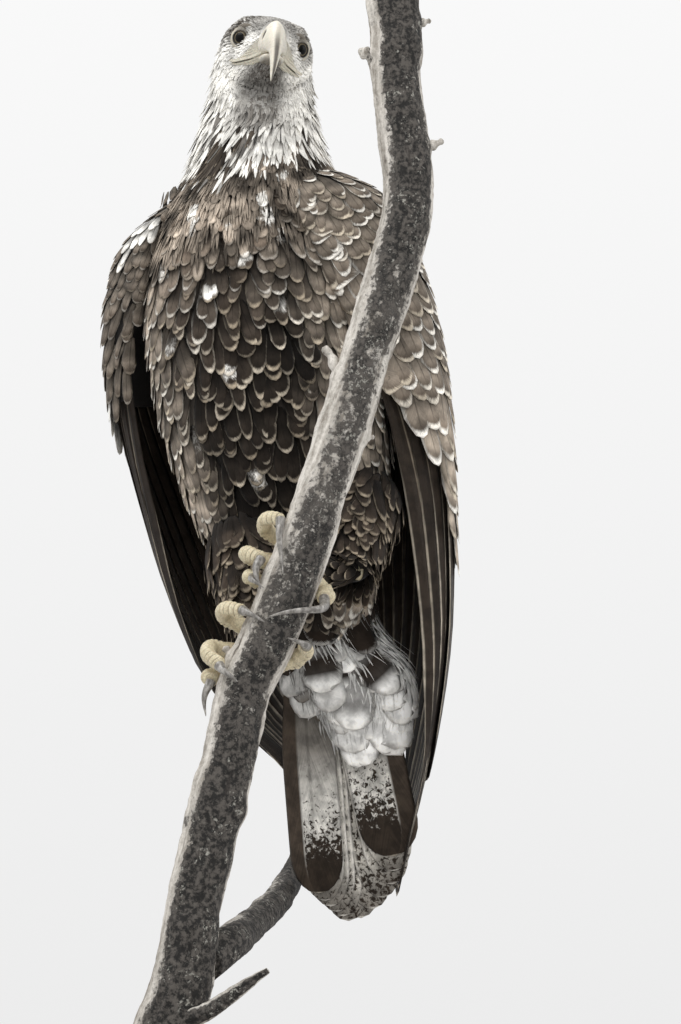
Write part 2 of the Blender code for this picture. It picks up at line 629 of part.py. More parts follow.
def add_leg(side, trunk_cutter, feather_finish, foot_finish, collection):
    """A feathered thigh out of the belly, and the bare shank down to the pad behind the stem."""
    knee, ankle = np.array(KNEES[side]), np.array(ANKLES[side])
    pad = round_stem(FOOT_HEIGHT[side], -1.0, PAD_OUT)
    share = np.linspace(0, 1, 7)
    thigh_path = smooth(share * 2, [0, 1, 2], np.array([knee, (knee + ankle) / 2 + (0, 0, 0.004), ankle]))
    thigh = tube(f"thigh_{side}", thigh_path, 0.020 + 0.022 * (1 - share) ** 0.8, feather_finish, collection, 14)
    cut(thigh, trunk_cutter)
    thigh_end = ankle - thigh_path[-2]
    thigh_end = thigh_end / np.linalg.norm(thigh_end)
    start = ankle + thigh_end * 0.0095
    reach = pad - start
    shank_path = start + reach * np.linspace(0, 1, 6)[:, None]
    tube(f"shank_{side}", shank_path, [0.0084, 0.0080, 0.0078, 0.0082, 0.0092, PAD_RADIUS], foot_finish, collection, 10)


# ---------------------------------------------------------------- the stand

def add_stand(finish, metal, collection):
    """A round plinth with a bevelled rim, and a rod up to the stem's cut foot."""
    bpy.ops.mesh.primitive_cylinder_add(
        vertices=40, radius=BASE_RADIUS, depth=BASE_HEIGHT, location=(*BASE_CENTRE, BASE_HEIGHT / 2)
    )
    base = bpy.context.object
    base.name = "stand_base"
    bevel = base.modifiers.new("rim", "BEVEL")
    bevel.width = 0.004
    bevel.segments = 1
    bevel.limit_method = "ANGLE"
    foot = np.array(STEM[0][:3])
    _, ahead, _ = stem_at(STEM[0][2] + 0.004)
    collar_low = foot - ahead * 0.016
    rod_top = collar_low - ahead * 0.0030
    rod_foot = np.array([rod_top[0] - 0.020, rod_top[1] + 0.004, BASE_HEIGHT + PLAY])
    for owner in list(base.users_collection):
        owner.objects.unlink(base)
    collection.objects.link(base)
    base.data.materials.append(finish)
    path = rod_foot + (rod_top - rod_foot) * np.linspace(0, 1, 4)[:, None]
    rod = tube("stand_rod", path, [ROD_RADIUS] * 4, metal, collection, 12, (0.0, 1.0, 0.0))
    level_end(rod, BASE_HEIGHT + PLAY)
    cup = collar_low + (foot - ahead * PLAY - collar_low) * np.linspace(0, 1, 3)[:, None]
    tube("stand_cup", cup, [0.0240, 0.0290, 0.0290], metal, collection, 16, (0.0, 1.0, 0.0))


def level_end(made, height):
    """Flattens a tube's lowest ring onto a level."""
    low = min(vertex.co.z for vertex in made.data.vertices)
    for vertex in made.data.vertices:
        if vertex.co.z < low + 2.2 * ROD_RADIUS * 0.35:
            vertex.co.z = height


# ---------------------------------------------------------------- the whole bird

def build():
    for old in list(bpy.data.objects):
        bpy.data.objects.remove(old)
    bird = bpy.data.collections.new("bald_eagle")
    cutters = bpy.data.collections.new("cutters")
    for collection in (bird, cutters):
        bpy.context.scene.collection.children.link(collection)

    plumage = material("dark_plumage", (0.060, 0.045, 0.034), 0.80)
    pale_plumage = material("pale_plumage", (0.520, 0.480, 0.410), 0.80)
    horn = material("bill_horn", (0.620, 0.560, 0.380), 0.40)
    skin = material("yellow_skin", (0.680, 0.560, 0.260), 0.50)
    claw = material("claw_horn", (0.070, 0.065, 0.060), 0.35)
    glass_eye = material("eye", (0.120, 0.100, 0.060), 0.10)
    bark = material("bark", (0.300, 0.285, 0.260), 0.85)
    wood = material("stand_wood", (0.090, 0.055, 0.035), 0.45)
    metal = material("stand_metal", (0.250, 0.250, 0.250), 0.35, 0.9)

    half_play = 0.010
    head = body_length("head", 0.0, HEAD_ENDS - half_play, 14, pale_plumage, bird)
    body_length("neck", HEAD_ENDS + half_play, NECK_ENDS - half_play, 8, pale_plumage, bird)
    body_length("trunk", NECK_ENDS + half_play, LAST_SECTION, 13, plumage, bird)
    trunk_cutter = body_length("trunk_cutter", HEAD_ENDS + half_play, LAST_SECTION, 20, plumage, cutters, out=3 * PLAY)

    for side, sign in (("left", 1), ("right", -1)):
        socket = ball(f"eye_socket_{side}", eye_centre(sign), EYE_RADIUS + PLAY, glass_eye, cutters)
        cut(head, socket)
        ball(f"eye_{side}", eye_centre(sign), EYE_RADIUS, glass_eye, bird)

    bill_half("bill_upper", UPPER_BILL, 13, 0.22, horn, bird)
    bill_half("bill_lower", LOWER_BILL, 5, -0.18, horn, bird, facets=10)

    parts = [("shoulder", 0, 5), ("coverts", 5, 10), ("flight", 10, WING_ROWS - 1)]
    gap = 0.0007
    for side, sign, table in (("left", 1, LEFT_WING), ("right", -1, RIGHT_WING)):
        for name, first, last in parts:
            rows = np.linspace(0, 1, WING_ROWS)[first : last + 1].copy()
            rows[0] += gap if first else 0
            rows[-1] -= 0 if last == WING_ROWS - 1 else gap
            down, across = np.meshgrid(rows, np.linspace(0, 1, WING_COLUMNS), indexing="ij")
            outside, inside = wing_grid(table, sign, down, across)
            wing = thick_sheet(f"wing_{side}_{name}", outside, inside, plumage, bird)
            if name == "shoulder":
                cut(wing, trunk_cutter)

    for group in TAIL_GROUPS:
        tail_group(*group, pale_plumage, bird)
    tail_coverts("undertail_coverts", UNDER_COVERTS, 1, 4, pale_plumage, bird)
    tail_coverts("uppertail_coverts", UPPER_COVERTS, -1, 0, pale_plumage, bird)

    for side in ("left", "right"):
        add_leg(side, trunk_cutter, plumage, skin, bird)
        add_foot(side, skin, claw, bird)

    wood_tube("perch_stem", STEM, 24, bark, bird, facets=14)
    stem_cutter = wood_tube("stem_cutter", STEM, 24, bark, cutters, facets=14, grow=2 * PLAY)
    for name, table in (("perch_fork", FORK), ("perch_stub", STUB)):
        cut(wood_tube(name, table, 9 if table is FORK else 6, bark, bird, facets=8), stem_cutter)

    add_stand(wood, metal, bird)


build()
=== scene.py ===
"""The looks of a life-size bald eagle on a cut branch: skin, feathers, bill, eyes, feet, bark, stand and light.

Every new surface is worked out with numpy as a function of two parameters, in metres, in the frame of the
solids: +Z up, the bird faces -Y and its left is towards +X. The body's parameters are the place, which counts
its sections from the bill, and the angle round it from the belly towards the bird's left.
"""

import math

import bpy
import numpy as np
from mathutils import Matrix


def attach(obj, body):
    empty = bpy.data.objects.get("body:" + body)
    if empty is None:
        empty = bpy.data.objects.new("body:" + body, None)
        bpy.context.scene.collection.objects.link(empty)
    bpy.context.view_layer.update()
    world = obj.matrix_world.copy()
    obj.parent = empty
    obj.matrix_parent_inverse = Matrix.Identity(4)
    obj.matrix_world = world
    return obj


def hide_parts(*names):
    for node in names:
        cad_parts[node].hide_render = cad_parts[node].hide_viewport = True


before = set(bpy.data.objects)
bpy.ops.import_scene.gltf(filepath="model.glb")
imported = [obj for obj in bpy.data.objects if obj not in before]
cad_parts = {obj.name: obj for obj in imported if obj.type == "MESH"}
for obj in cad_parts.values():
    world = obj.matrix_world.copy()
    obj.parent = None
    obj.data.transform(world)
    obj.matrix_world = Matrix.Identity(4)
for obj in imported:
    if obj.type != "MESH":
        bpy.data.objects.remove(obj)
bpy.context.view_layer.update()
CHANCE = np.random.default_rng(31)
SIDES = (("left", 1), ("right", -1))

# -------------------- directions, curves and noise


def frame_of(yaw, pitch, roll):
    """Unit vectors (left, forward, up) of a bird that faces -Y, turned by yaw, then pitched, then rolled."""
    forward = np.array([math.sin(yaw), -math.cos(yaw), 0.0])
    left = np.array([math.cos(yaw), math.sin(yaw), 0.0])
    up = np.array([0.0, 0.0, 1.0])
    forward, up = math.cos(pitch) * forward + math.sin(pitch) * up, math.cos(pitch) * up - math.sin(pitch) * forward
    left, up = math.cos(roll) * left - math.sin(roll) * up, math.cos(roll) * up + math.sin(roll) * left
    return np.array([left, forward, up])


def unit(vectors):
    return vectors / np.maximum(np.linalg.norm(vectors, axis=-1, keepdims=True), 1e-12)


def between(angle, first, second):
    """The direction at an angle from the first one towards the second."""
    return np.cos(angle)[..., None] * first + np.sin(angle)[..., None] * second


def circle(count, first=0.0):
    """Angles all round, the last one short of the first."""
    return np.linspace(first, first + 2 * np.pi, count, endpoint=False)


def grid(rows, columns):
    return np.meshgrid(rows, columns, indexing="ij")


def matched(*values):
    """The values as arrays of one shape."""
    return np.broadcast_arrays(*(np.asarray(value, float) for value in values))


def metres(rows, count=None):
    """A table whose rows, or their first values, are written in millimetres."""
    table = np.array(rows, float)
    table[:, :count] /= 1000
    return table


def signed_degrees(angle):
    return np.degrees((angle + np.pi) % (2 * np.pi) - np.pi)


def run_of(path):
    """The length along a path at each of its points."""
    return np.concatenate([[0], np.cumsum(np.linalg.norm(np.diff(path, axis=0), axis=1))])


def smooth(at, knots, values):
    """A cubic Hermite curve through values at knots, whose slopes come from the neighbouring knots."""
    knots = np.asarray(knots, float)
    values = np.asarray(values, float).reshape(len(knots), -1)
    slopes = np.gradient(values, knots, axis=0)
    at = np.asarray(at, float)
    shape = at.shape
    at = np.clip(at.ravel(), knots[0], knots[-1])
    i = np.clip(np.searchsorted(knots, at, side="right") - 1, 0, len(knots) - 2)
    width = (knots[i + 1] - knots[i])[:, None]
    t = (at - knots[i])[:, None] / width
    curve = (2 * t**3 - 3 * t**2 + 1) * values[i] + (3 * t**2 - 2 * t**3) * values[i + 1]
    curve = curve + ((t**3 - 2 * t**2 + t) * slopes[i] + (t**3 - t**2) * slopes[i + 1]) * width
    return curve.reshape(*shape, -1)


def smooth_rows(table, count):
    """The rows of a table, smoothed into a number of finer ones."""
    return smooth(np.linspace(0, len(table) - 1, count), np.arange(len(table)), table)


def look_up(table, column):
    """The function that reads one column of a table between its rows, whose first column is the place."""
    rows = np.array(table)
    return lambda place: np.interp(place, rows[:, 0], rows[:, column])


def ramp(value, low, high):
    """0 below low, 1 above high and a smooth step between."""
    t = np.clip((value - low) / (high - low), 0, 1)
    return t * t * (3 - 2 * t)


def bell(value, middle, width):
    return np.exp(-(((value - middle) / width) ** 2))


def lattice(points, size, seed=0):
    """Smooth noise from 0 to 1: random values on a cubic lattice of that size, blended between its corners."""
    scaled = np.asarray(points) / size
    cell = np.floor(scaled).astype(np.int64)
    part = scaled - cell
    part = part * part * (3 - 2 * part)
    total = 0.0
    for corner in np.ndindex(2, 2, 2):
        node = (cell + np.array(corner)) * (73856093, 19349663, 83492791)  # large primes scatter the cells' numbers
        mixed = node[..., 0] ^ node[..., 1] ^ node[..., 2] ^ (seed * 2654435)
        mixed = (mixed ^ (mixed >> 13)) * 1274126177 & 0x7FFFFFFF
        value = ((mixed ^ (mixed >> 16)) & 0xFFFF) / 65535.0
        total = total + value * np.prod(np.where(np.array(corner) == 1, part, 1 - part), -1)
    return total


# -------------------- the body's surface, as in its solids

BODY_CENTRE, EYE_MIDDLE = np.array([-0.028, 0.075, 0.872]), np.array([-0.0282, -0.045, 1.1602])
BODY = frame_of(*np.radians([-15.0, -13.0, -6.0]))
HEAD = frame_of(*np.radians([8.3, -15.3, 7.4]))


def on_body(left, forward, up):
    return BODY_CENTRE + np.stack(np.broadcast_arrays(left, forward, up), -1) @ BODY


def on_head(left, forward, up):
    return EYE_MIDDLE + np.stack(np.broadcast_arrays(left, forward, up), -1) @ HEAD


def in_room(*place):
    return np.array(place)


def head_parts(where):
    """A point's left, forward and up in the head's frame."""
    return np.moveaxis((where - EYE_MIDDLE) @ HEAD.T, -1, 0)


EYE_RADIUS, EYE_OUT, EYE_BACK = 0.0112, 0.0238, -0.0066
EYE_CENTRES = np.stack([on_head(sign * EYE_OUT, EYE_BACK, 0.0) for _, sign in SIDES])


def eye_distance(where):
    """How far each point is from the nearer eye's centre."""
    return np.min(np.linalg.norm(where[..., None, :] - EYE_CENTRES, axis=-1), -1)


# Each section, from the bill to the tail: its centre in millimetres and the frame that it is in, how far the
# section's own frame is the trunk's and not the head's, its tilt in degrees, its half width, its depth to the front
# and to the back in millimetres, and how square its oval is.
SECTIONS = [
    (on_head, 0, 33, -1, 0, 90, 12.5, 18.5, 15, 2.2), (on_head, 0, 20, -1, 0, 90, 19, 23, 20.5, 2.3),
    (on_head, 0, 6, -1, 0, 90, 28.5, 29, 25.5, 2.3), (on_head, 0, -9, -1, 0, 88, 38.5, 34, 29, 2.3),
    (on_head, 0, -26, -3, 0.02, 80, 43.5, 38.5, 32, 2.2), (on_head, 0, -41, -14, 0.12, 62, 45, 43, 35, 2.1),
    (in_room, -38.5, 10, 1133, 0.38, 38, 49, 47, 39, 2.0), (in_room, -41.5, 6, 1105, 0.66, 20, 55, 51, 47, 2.0),
    (in_room, -43.5, 17, 1070, 0.88, 8, 66, 61, 58, 2.0), (in_room, -45, 36, 1030, 1, 0, 88, 84, 76, 2.0),
    (on_body, 2, 0, 110, 1, 0, 108, 102, 86, 2.05), (on_body, 0, 0, 45, 1, 0, 114, 108, 90, 2.1),
    (on_body, 0, 0, -35, 1, 0, 112, 103, 88, 2.1), (on_body, 0, 0, -105, 1, 0, 99, 88, 80, 2.1),
    (on_body, 0, -2, -165, 1, 0, 82, 68, 70, 2.1), (on_body, 0, -6, -215, 1, 0, 64, 50, 56, 2.1),
    (on_body, 0, -12, -250, 1, 0, 50, 38, 42, 2.0),
]
LAST = len(SECTIONS) - 1
# Rises and hollows of the head: section, angle round from the throat, how far out, and how wide each way.
RELIEF = (
    (2.45, 124.0, 0.0030, 0.75, 12.0), (2.4, 97.0, -0.0052, 0.85, 15.0), (3.6, 62.0, 0.0024, 0.9, 20.0),
    (3.0, 170.0, -0.0022, 1.6, 45.0), (5.5, 0.0, 0.0065, 0.75, 50.0),
)
# How much each section past the last one moves, (forward, up) in the trunk's frame, and narrows.
BEYOND_STEP, BEYOND_NARROWS = -0.012 * BODY[1] - 0.035 * BODY[2], 0.010


def section_row(place, x, y, z, share, tilt, wide, front, back, square):
    """Centre, left, belly direction and oval of one section: its frame is blended from the head's to the trunk's."""
    left, forward, _ = (1 - share) * HEAD + share * BODY
    left = unit(left)
    forward = unit(forward - forward.dot(left) * left)
    turn = math.radians(tilt)
    belly = math.cos(turn) * forward - math.sin(turn) * np.cross(forward, left)
    sizes = [wide / 1000, front / 1000, back / 1000, square]
    return np.concatenate([place(x / 1000, y / 1000, z / 1000), left, belly, sizes])


SECTION_TABLE = np.array([section_row(*row) for row in SECTIONS])


def oval(angle, half_width, front, back, square):
    """The radius at an angle from the front of an oval with unlike front and back depths."""
    across = np.abs(np.sin(angle)) / half_width
    along = np.abs(np.cos(angle)) / np.where(np.cos(angle) > 0, front, back)
    return (across**square + along**square) ** (-1 / square)


def body(place, angle, out=0.0):
    """A point of the body's outline. The section's oval and the head's relief give its radius, and out adds to
    it. Past the last section it runs on in a straight line and narrows."""
    place, angle = matched(place, angle)
    rows = smooth(place, np.arange(LAST + 1), SECTION_TABLE)
    beyond = np.clip(place - LAST, 0, None)[..., None]
    centre, left, belly = rows[..., :3] + beyond * BEYOND_STEP, unit(rows[..., 3:6]), rows[..., 6:9]
    belly = unit(belly - (belly * left).sum(-1, keepdims=True) * left)
    sizes = np.moveaxis(rows[..., 9:12] - BEYOND_NARROWS * np.clip(beyond, 0, 2.5), -1, 0)
    radius = oval(angle, *sizes, rows[..., 12]) + out
    round_ = np.abs(signed_degrees(angle))
    for section, middle, rise, long, wide in RELIEF:
        radius = radius + rise * bell(place, section, long) * bell(round_, middle, wide)
    throat = 0.0115 * bell(place, 5.35, 0.95) * ramp(round_, 105, 45)
    return centre - throat[..., None] * np.array([0.0, 1.0, 0.0]) + radius[..., None] * between(angle, belly, left)


# -------------------- the wings' and the tail's surfaces

# Up in the trunk's frame, half width, depth behind and depth ahead, in millimetres, then the angles in degrees of
# the front and back edge.
WING_TABLES = {
    "left": metres([
        (186, 98, 74, 72, 52, 160), (160, 128, 90, 82, 48, 164), (110, 152, 104, 88, 50, 167),
        (30, 166, 112, 84, 60, 169), (-45, 166, 113, 78, 66, 170), (-115, 159, 111, 72, 70, 171),
        (-190, 148, 106, 64, 73, 172), (-265, 133, 98, 52, 77, 172), (-345, 108, 86, 38, 84, 172),
        (-400, 87, 77, 26, 92, 172), (-455, 62, 68, 16, 106, 172), (-506, 42, 58, 10, 126, 172),
    ], 4),
    "right": metres([
        (178, 90, 74, 70, 54, 160), (155, 120, 90, 78, 54, 164), (105, 149, 104, 80, 60, 167),
        (40, 163, 112, 72, 72, 169), (-25, 164, 113, 62, 76, 170), (-105, 156, 111, 52, 79, 171),
        (-190, 143, 106, 46, 82, 172), (-265, 122, 98, 38, 86, 172), (-331, 88, 86, 30, 100, 172),
        (-359, 70, 82, 24, 114, 172), (-387, 60, 78, 20, 128, 172), (-430, 46, 70, 14, 146, 174),
        (-470, 40, 64, 10, 152, 175),
    ], 4),
}
WING_SQUARE = 2.15
EDGE_ROLL = 0.011  # the radius with which a wing's front edge turns inwards
EDGE_REACH, EDGE_TURN = 0.30, math.radians(150)  # how far across that takes, and how far round it turns


def wing(side, sign):
    """The surface of one folded wing: down runs from the shoulder to the tip and across from the front edge to
    the back one. Each point's height falls evenly with down, less so towards the back, and its radius from the
    trunk's axis is an oval's with the sizes of the wing's table at that height. Below 0, across turns in round the
    front edge on a small circle."""
    table = WING_TABLES[side]
    top, tip = table[0, 0], table[-1, 0]

    def surface(down, across, out=0.0):
        down, across = matched(down, across)
        roll = np.clip(-across / EDGE_REACH, 0, 1) * EDGE_TURN
        over = np.clip(across, 0, 2)
        up = top + (tip - top) * down * (1 - 0.20 * np.clip((over - 0.45) / 0.55, 0, 1) ** 1.5)
        wide, back, front, first, last = np.moveaxis(smooth(-up, -table[:, 0], table[:, 1:]), -1, 0)
        angle = np.radians(first + (last - first) * over)
        radius = oval(angle, wide, front, back, WING_SQUARE) - 0.010 * np.clip(1 - down / 0.06, 0, 1) ** 2
        angle = angle - (EDGE_ROLL + out) * np.sin(roll) / radius
        radius = radius - EDGE_ROLL * (1 - np.cos(roll)) + out * np.cos(roll)
        return on_body(sign * radius * np.sin(angle), radius * np.cos(angle), up)

    return surface


WING = {side: wing(side, sign) for side, sign in SIDES}

# The tail's plane in the trunk's frame: up at its root and tip, forward there, and how much it curves across.
TAIL_ROOT, TAIL_TIP = -0.2516, -0.513
TAIL_FORWARD_ROOT, TAIL_FORWARD_TIP, TAIL_CURVE = -0.024, -0.031, 2.0
MOUND_TOP = -0.19
# The soft mounds of coverts on the tail's root, in millimetres: up, sideways middle, half width and depth.
UNDER_COVERTS = metres([
    (-190, 6, 60, 50), (-251.6, 8, 56, 38), (-285, 18, 64, 34), (-325, 20, 60, 24), (-355, 20, 48, 13),
    (-390, 16, 26, 4),
])
UPPER_COVERTS = metres([
    (-190, 0, 50, 36), (-251.6, 0, 42, 24), (-290, 0, 38, 18), (-325, 0, 30, 10), (-360, 0, 20, 4),
])


def tail_forward(side, up, layer):
    down = (up - TAIL_ROOT) / (TAIL_TIP - TAIL_ROOT)
    return TAIL_FORWARD_ROOT + (TAIL_FORWARD_TIP - TAIL_FORWARD_ROOT) * down + layer - TAIL_CURVE * side**2


def tail(drop, side, out=0.0):
    """The fanned tail's plane: drop metres down from its root and side metres to the bird's left, a shallow
    parabola across. out lifts a point towards the belly."""
    up = TAIL_ROOT - np.asarray(drop, float)
    return on_body(side, tail_forward(side, up, out), up)


def tail_mound(table, way, rest_layer):
    """A mound of coverts: half ovals across the tail's plane, whose width and depth come from its table, on the
    belly's side if way is 1 and on the back's if it is -1."""

    def surface(drop, turn, out=0.0):
        up = MOUND_TOP - np.asarray(drop, float)
        middle, wide, deep = np.moveaxis(smooth(-up, -table[:, 0], table[:, 1:]), -1, 0)
        side = middle + (wide + out) * np.sin(turn)
        return on_body(side, tail_forward(side, up, rest_layer) + way * (deep + out) * np.cos(turn), up)

    return surface


UNDER_TAIL, OVER_TAIL = tail_mound(UNDER_COVERTS, 1, 0.009), tail_mound(UPPER_COVERTS, -1, -0.001)

# -------------------- meshes

NO_TRIANGLES = np.zeros((0, 3), int)
SIDEWAYS, UPWARDS = (0.0, 1.0, 0.0), (0.0, 0.0, 1.0)


def into_scene(name, data):
    made = bpy.data.objects.new(name, data)
    bpy.context.scene.collection.objects.link(made)
    return made


def mesh_piece(name, shape, finish, attributes=(), bake_map=None, stands_for=()):
    """One object from whole arrays of points and faces, with its attributes and its map for baking. It stands for
    the named solids, and finish is its material."""
    points, quads, triangles = shape
    mesh = bpy.data.meshes.new(name)
    corners = np.concatenate([quads.ravel(), triangles.ravel()]).astype(np.int32)
    mesh.vertices.add(len(points))
    mesh.vertices.foreach_set("co", np.ascontiguousarray(points, np.float32).ravel())
    mesh.loops.add(len(corners))
    mesh.loops.foreach_set("vertex_index", corners)
    mesh.polygons.add(len(quads) + len(triangles))
    starts = np.concatenate([np.arange(len(quads)) * 4, len(quads) * 4 + np.arange(len(triangles)) * 3])
    mesh.polygons.foreach_set("loop_start", starts.astype(np.int32))
    mesh.update(calc_edges=True)
    for key, values in attributes:
        values = np.ascontiguousarray(values, np.float32)
        wide = 1 if values.ndim == 1 else values.shape[-1]
        kind, field = {1: ("FLOAT", "value"), 3: ("FLOAT_VECTOR", "vector"), 4: ("FLOAT_COLOR", "color")}[wide]
        mesh.attributes.new(key, kind, "POINT").data.foreach_set(field, values.ravel())
    if bake_map is not None:
        layer = mesh.uv_layers.new(name="OFBake")
        layer.data.foreach_set("uv", np.ascontiguousarray(bake_map[corners], np.float32).ravel())
    mesh.shade_smooth()
    mesh.materials.append(finish)
    piece = into_scene(name, mesh)
    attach(piece, "root")
    if stands_for:
        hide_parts(*stands_for)
    return piece


def opaque(tones):
    """Colours with a fourth value of 1."""
    return np.concatenate([tones, np.ones((len(tones), 1))], 1)


def with_ends(values):
    """One value for each point of a shell: its rings' own, then the mean of the first and of the last ring."""
    return np.concatenate([values.reshape(-1, values.shape[-1]), values[[0, -1]].mean(1)])


def grid_faces(rows, columns, closed):
    """Quads of a grid of points, joined round in its second direction if closed."""
    i, j = grid(np.arange(rows - 1), np.arange(columns if closed else columns - 1))
    i, j, k = i.ravel(), j.ravel(), (j.ravel() + 1) % columns
    return np.stack([i * columns + j, i * columns + k, (i + 1) * columns + k, (i + 1) * columns + j], -1)


def tube_faces(rows, columns):
    """Quads of a tube of rings, and the fans of its two end points, which come after the rings' points."""
    j = np.arange(columns)
    k = (j + 1) % columns
    end = rows * columns
    fans = (np.full(columns, end), k, j), (np.full(columns, end + 1), end - columns + j, end - columns + k)
    return grid_faces(rows, columns, True), np.concatenate([np.stack(fan, -1) for fan in fans])


def outward(points, quads, triangles):
    """The faces, turned so that the closed shell's volume is positive."""
    fan = np.concatenate([quads[:, [0, 1, 2]], quads[:, [0, 2, 3]], triangles])
    a, b, c = points[fan[:, 0]], points[fan[:, 1]], points[fan[:, 2]]
    if (a * np.cross(b, c)).sum() < 0:
        return quads[:, ::-1], triangles[:, ::-1]
    return quads, triangles


def shell(rings):
    """(points, quads, triangles) of a closed shell through rings of points, with a fan over either end."""
    points = with_ends(rings)
    return (points, *outward(points, *tube_faces(*rings.shape[:2])))


def slab(outside, inside):
    """(points, quads, triangles) of a closed shell between two grids, with its border walled in."""
    rows, columns = outside.shape[:2]
    count = rows * columns
    quads = grid_faces(rows, columns, False)
    index = np.arange(count).reshape(rows, columns)
    border = np.concatenate([index[0], index[1:, -1], index[-1, -2::-1], index[-2:0:-1, 0]])
    after = np.roll(border, -1)
    wall = np.stack([after, border, border + count, after + count], -1)
    quads = np.concatenate([quads, quads[:, ::-1] + count, wall])
    points = np.concatenate([outside.reshape(-1, 3), inside.reshape(-1, 3)])
    return (points, *outward(points, quads, NO_TRIANGLES))


def join(shells):
    """Several shells as one set of points and faces."""
    points, quads, triangles = zip(*shells)
    starts = np.cumsum([0] + [len(part) for part in points])
    return (
        np.concatenate(points), np.concatenate([part + start for part, start in zip(quads, starts)]),
        np.concatenate([part + start for part, start in zip(triangles, starts)]),
    )


def rings_along(path, radii, columns, first_side):
    """Rings of points across a path, carried along it without twist. radii has one value for each ring."""
    ahead = unit(np.gradient(path, axis=0))
    side, sides = np.asarray(first_side, float), []
    for direction in ahead:
        side = unit(side - side.dot(direction) * direction)
        sides.append(side)
    sides = np.array(sides)[:, None]
    out = between(circle(columns)[None], sides, np.cross(ahead[:, None], sides))
    return path[:, None] + np.asarray(radii, float)[:, None, None] * out


def straight(start, end, count):
    return start + (end - start) * np.linspace(0, 1, count)[:, None]


# -------------------- feathers

# A vane's stations from quill to tip, and its ring: how far across, and how high on its thickness.
STATIONS = np.array([0.0, 0.24, 0.48, 0.68, 0.84, 0.95, 1.0])
RING = np.array([(-1.0, 0.0), (-0.55, 0.5), (0.0, 0.9), (0.55, 0.5), (1.0, 0.0), (0.45, -0.5), (-0.45, -0.5)])
FINE_STATIONS = np.array([0.0, 0.35, 0.68, 0.90, 1.0])
FINE_RING = np.array([(-1.0, 0.0), (-0.45, 0.6), (0.45, 0.6), (1.0, 0.0), (0.0, -0.5)])
LONG_STATIONS = np.concatenate([np.linspace(0, 0.86, 15), [0.90, 0.94, 0.97, 0.99, 1.0]])
LONG_RING = np.array([
    (-1.0, 0.0), (-0.9, 0.5), (-0.5, 0.6), (-0.09, 0.6), (0.0, 1.7), (0.09, 0.6), (0.5, 0.6), (0.9, 0.5),
    (1.0, 0.0), (0.6, -0.5), (0.0, -0.9), (-0.6, -0.5),
])
ROOT_THICKNESS = 0.35  # how thick a vane is at its root, as a share
NUDGE = 1e-3  # the step of a parameter over which a surface's slopes are measured
PATCH = np.array([0.0014, 0.0030])  # half the width and the length of a feather on the bake map
MAP_EDGE = 0.02  # the bake map's empty border


def outline(stations, kind):
    """A vane's half width along it, as a share of its widest: round ends in an arc, lance in a long point, and
    long keeps its width to a blunt tip."""

    def arc(start, power):
        return np.sqrt(np.clip(1 - (np.clip(stations - start, 0, 1) / (1 - start)) ** power, 0, 1))

    def swell(least, until):
        return least + (1 - least) * np.sin(stations / until * np.pi / 2)

    if kind == "lance":
        return np.where(stations < 0.35, swell(0.35, 0.35), (1 - (stations - 0.35) / 0.65) ** 0.75)
    if kind == "long":
        return (0.62 + 0.38 * ramp(stations, 0, 0.5)) * arc(0.84, 2.2)
    return np.where(stations < 0.5, swell(0.40, 0.5), arc(0.5, 2.3))


def slopes(surface, p, q, out):
    """How far a surface's point moves for each unit of its first and of its second parameter."""
    steps = ((NUDGE, 0), (0, NUDGE))
    return [(surface(p + a, q + b, out) - surface(p - a, q - b, out)) / (2 * NUDGE) for a, b in steps]


def step_along(surface, p, q, heading, length, stations, rise):
    """The shaft's parameters at each station: steps along the surface in the heading's direction, measured in
    metres with the surface's own stretch at each step."""
    all_p, all_q = [p], [q]
    for i, share in enumerate(np.diff(stations)):
        along, across = (np.maximum(np.linalg.norm(way, axis=-1), 1e-3) for way in slopes(surface, p, q, rise[:, i]))
        p = p + length * share * np.cos(heading) / along
        q = q + length * share * np.sin(heading) / across
        all_p.append(p)
        all_q.append(q)
    return np.stack(all_p, 1), np.stack(all_q, 1)


def vanes(surface, p, q, rise, width, thick, cup, slant, ring):
    """(points, quads, triangles) of closed vanes, shell-mapped to a surface. p, q and rise place each shaft at
    its stations, width is its half width there, cup bends the edges down and slant tips one edge over. The
    lateral direction is solved into the surface's two slopes, so that the vane bends with the surface."""
    count, stations = p.shape
    fp, fq = slopes(surface, p, q, rise)
    ahead = fp * np.gradient(p, axis=1)[..., None] + fq * np.gradient(q, axis=1)[..., None]
    lateral = unit(np.cross(unit(np.cross(fp, fq)), ahead))
    pp, qq, pq = (fp * fp).sum(-1), (fq * fq).sum(-1), (fp * fq).sum(-1)
    lp, lq = (lateral * fp).sum(-1), (lateral * fq).sum(-1)
    spread = np.maximum(pp * qq - pq**2, 1e-12)
    a, b = (lp * qq - lq * pq) / spread, (lq * pp - lp * pq) / spread
    across, height = ring[:, 0], ring[:, 1]
    w = width[:, :-1, None] * across
    thicken = np.append(ROOT_THICKNESS, np.ones(stations - 2))[:, None]
    level = rise[:, :-1, None] + height * thick * thicken
    level = level - np.reshape(cup, (-1, 1, 1)) * across * w + slant[:, None, None] * w
    rings = surface(p[:, :-1, None] + a[:, :-1, None] * w, q[:, :-1, None] + b[:, :-1, None] * w, level)
    ends = [surface(p[:, i], q[:, i], rise[:, i])[:, None] for i in (0, -1)]
    points = np.concatenate([rings.reshape(count, -1, 3), *ends], 1)
    quads, fans = outward(points[0], *tube_faces(stations - 1, len(ring)))
    start = (np.arange(count) * points.shape[1])[:, None, None]
    return points, (quads[None] + start).reshape(-1, 4), (fans[None] + start).reshape(-1, 3)


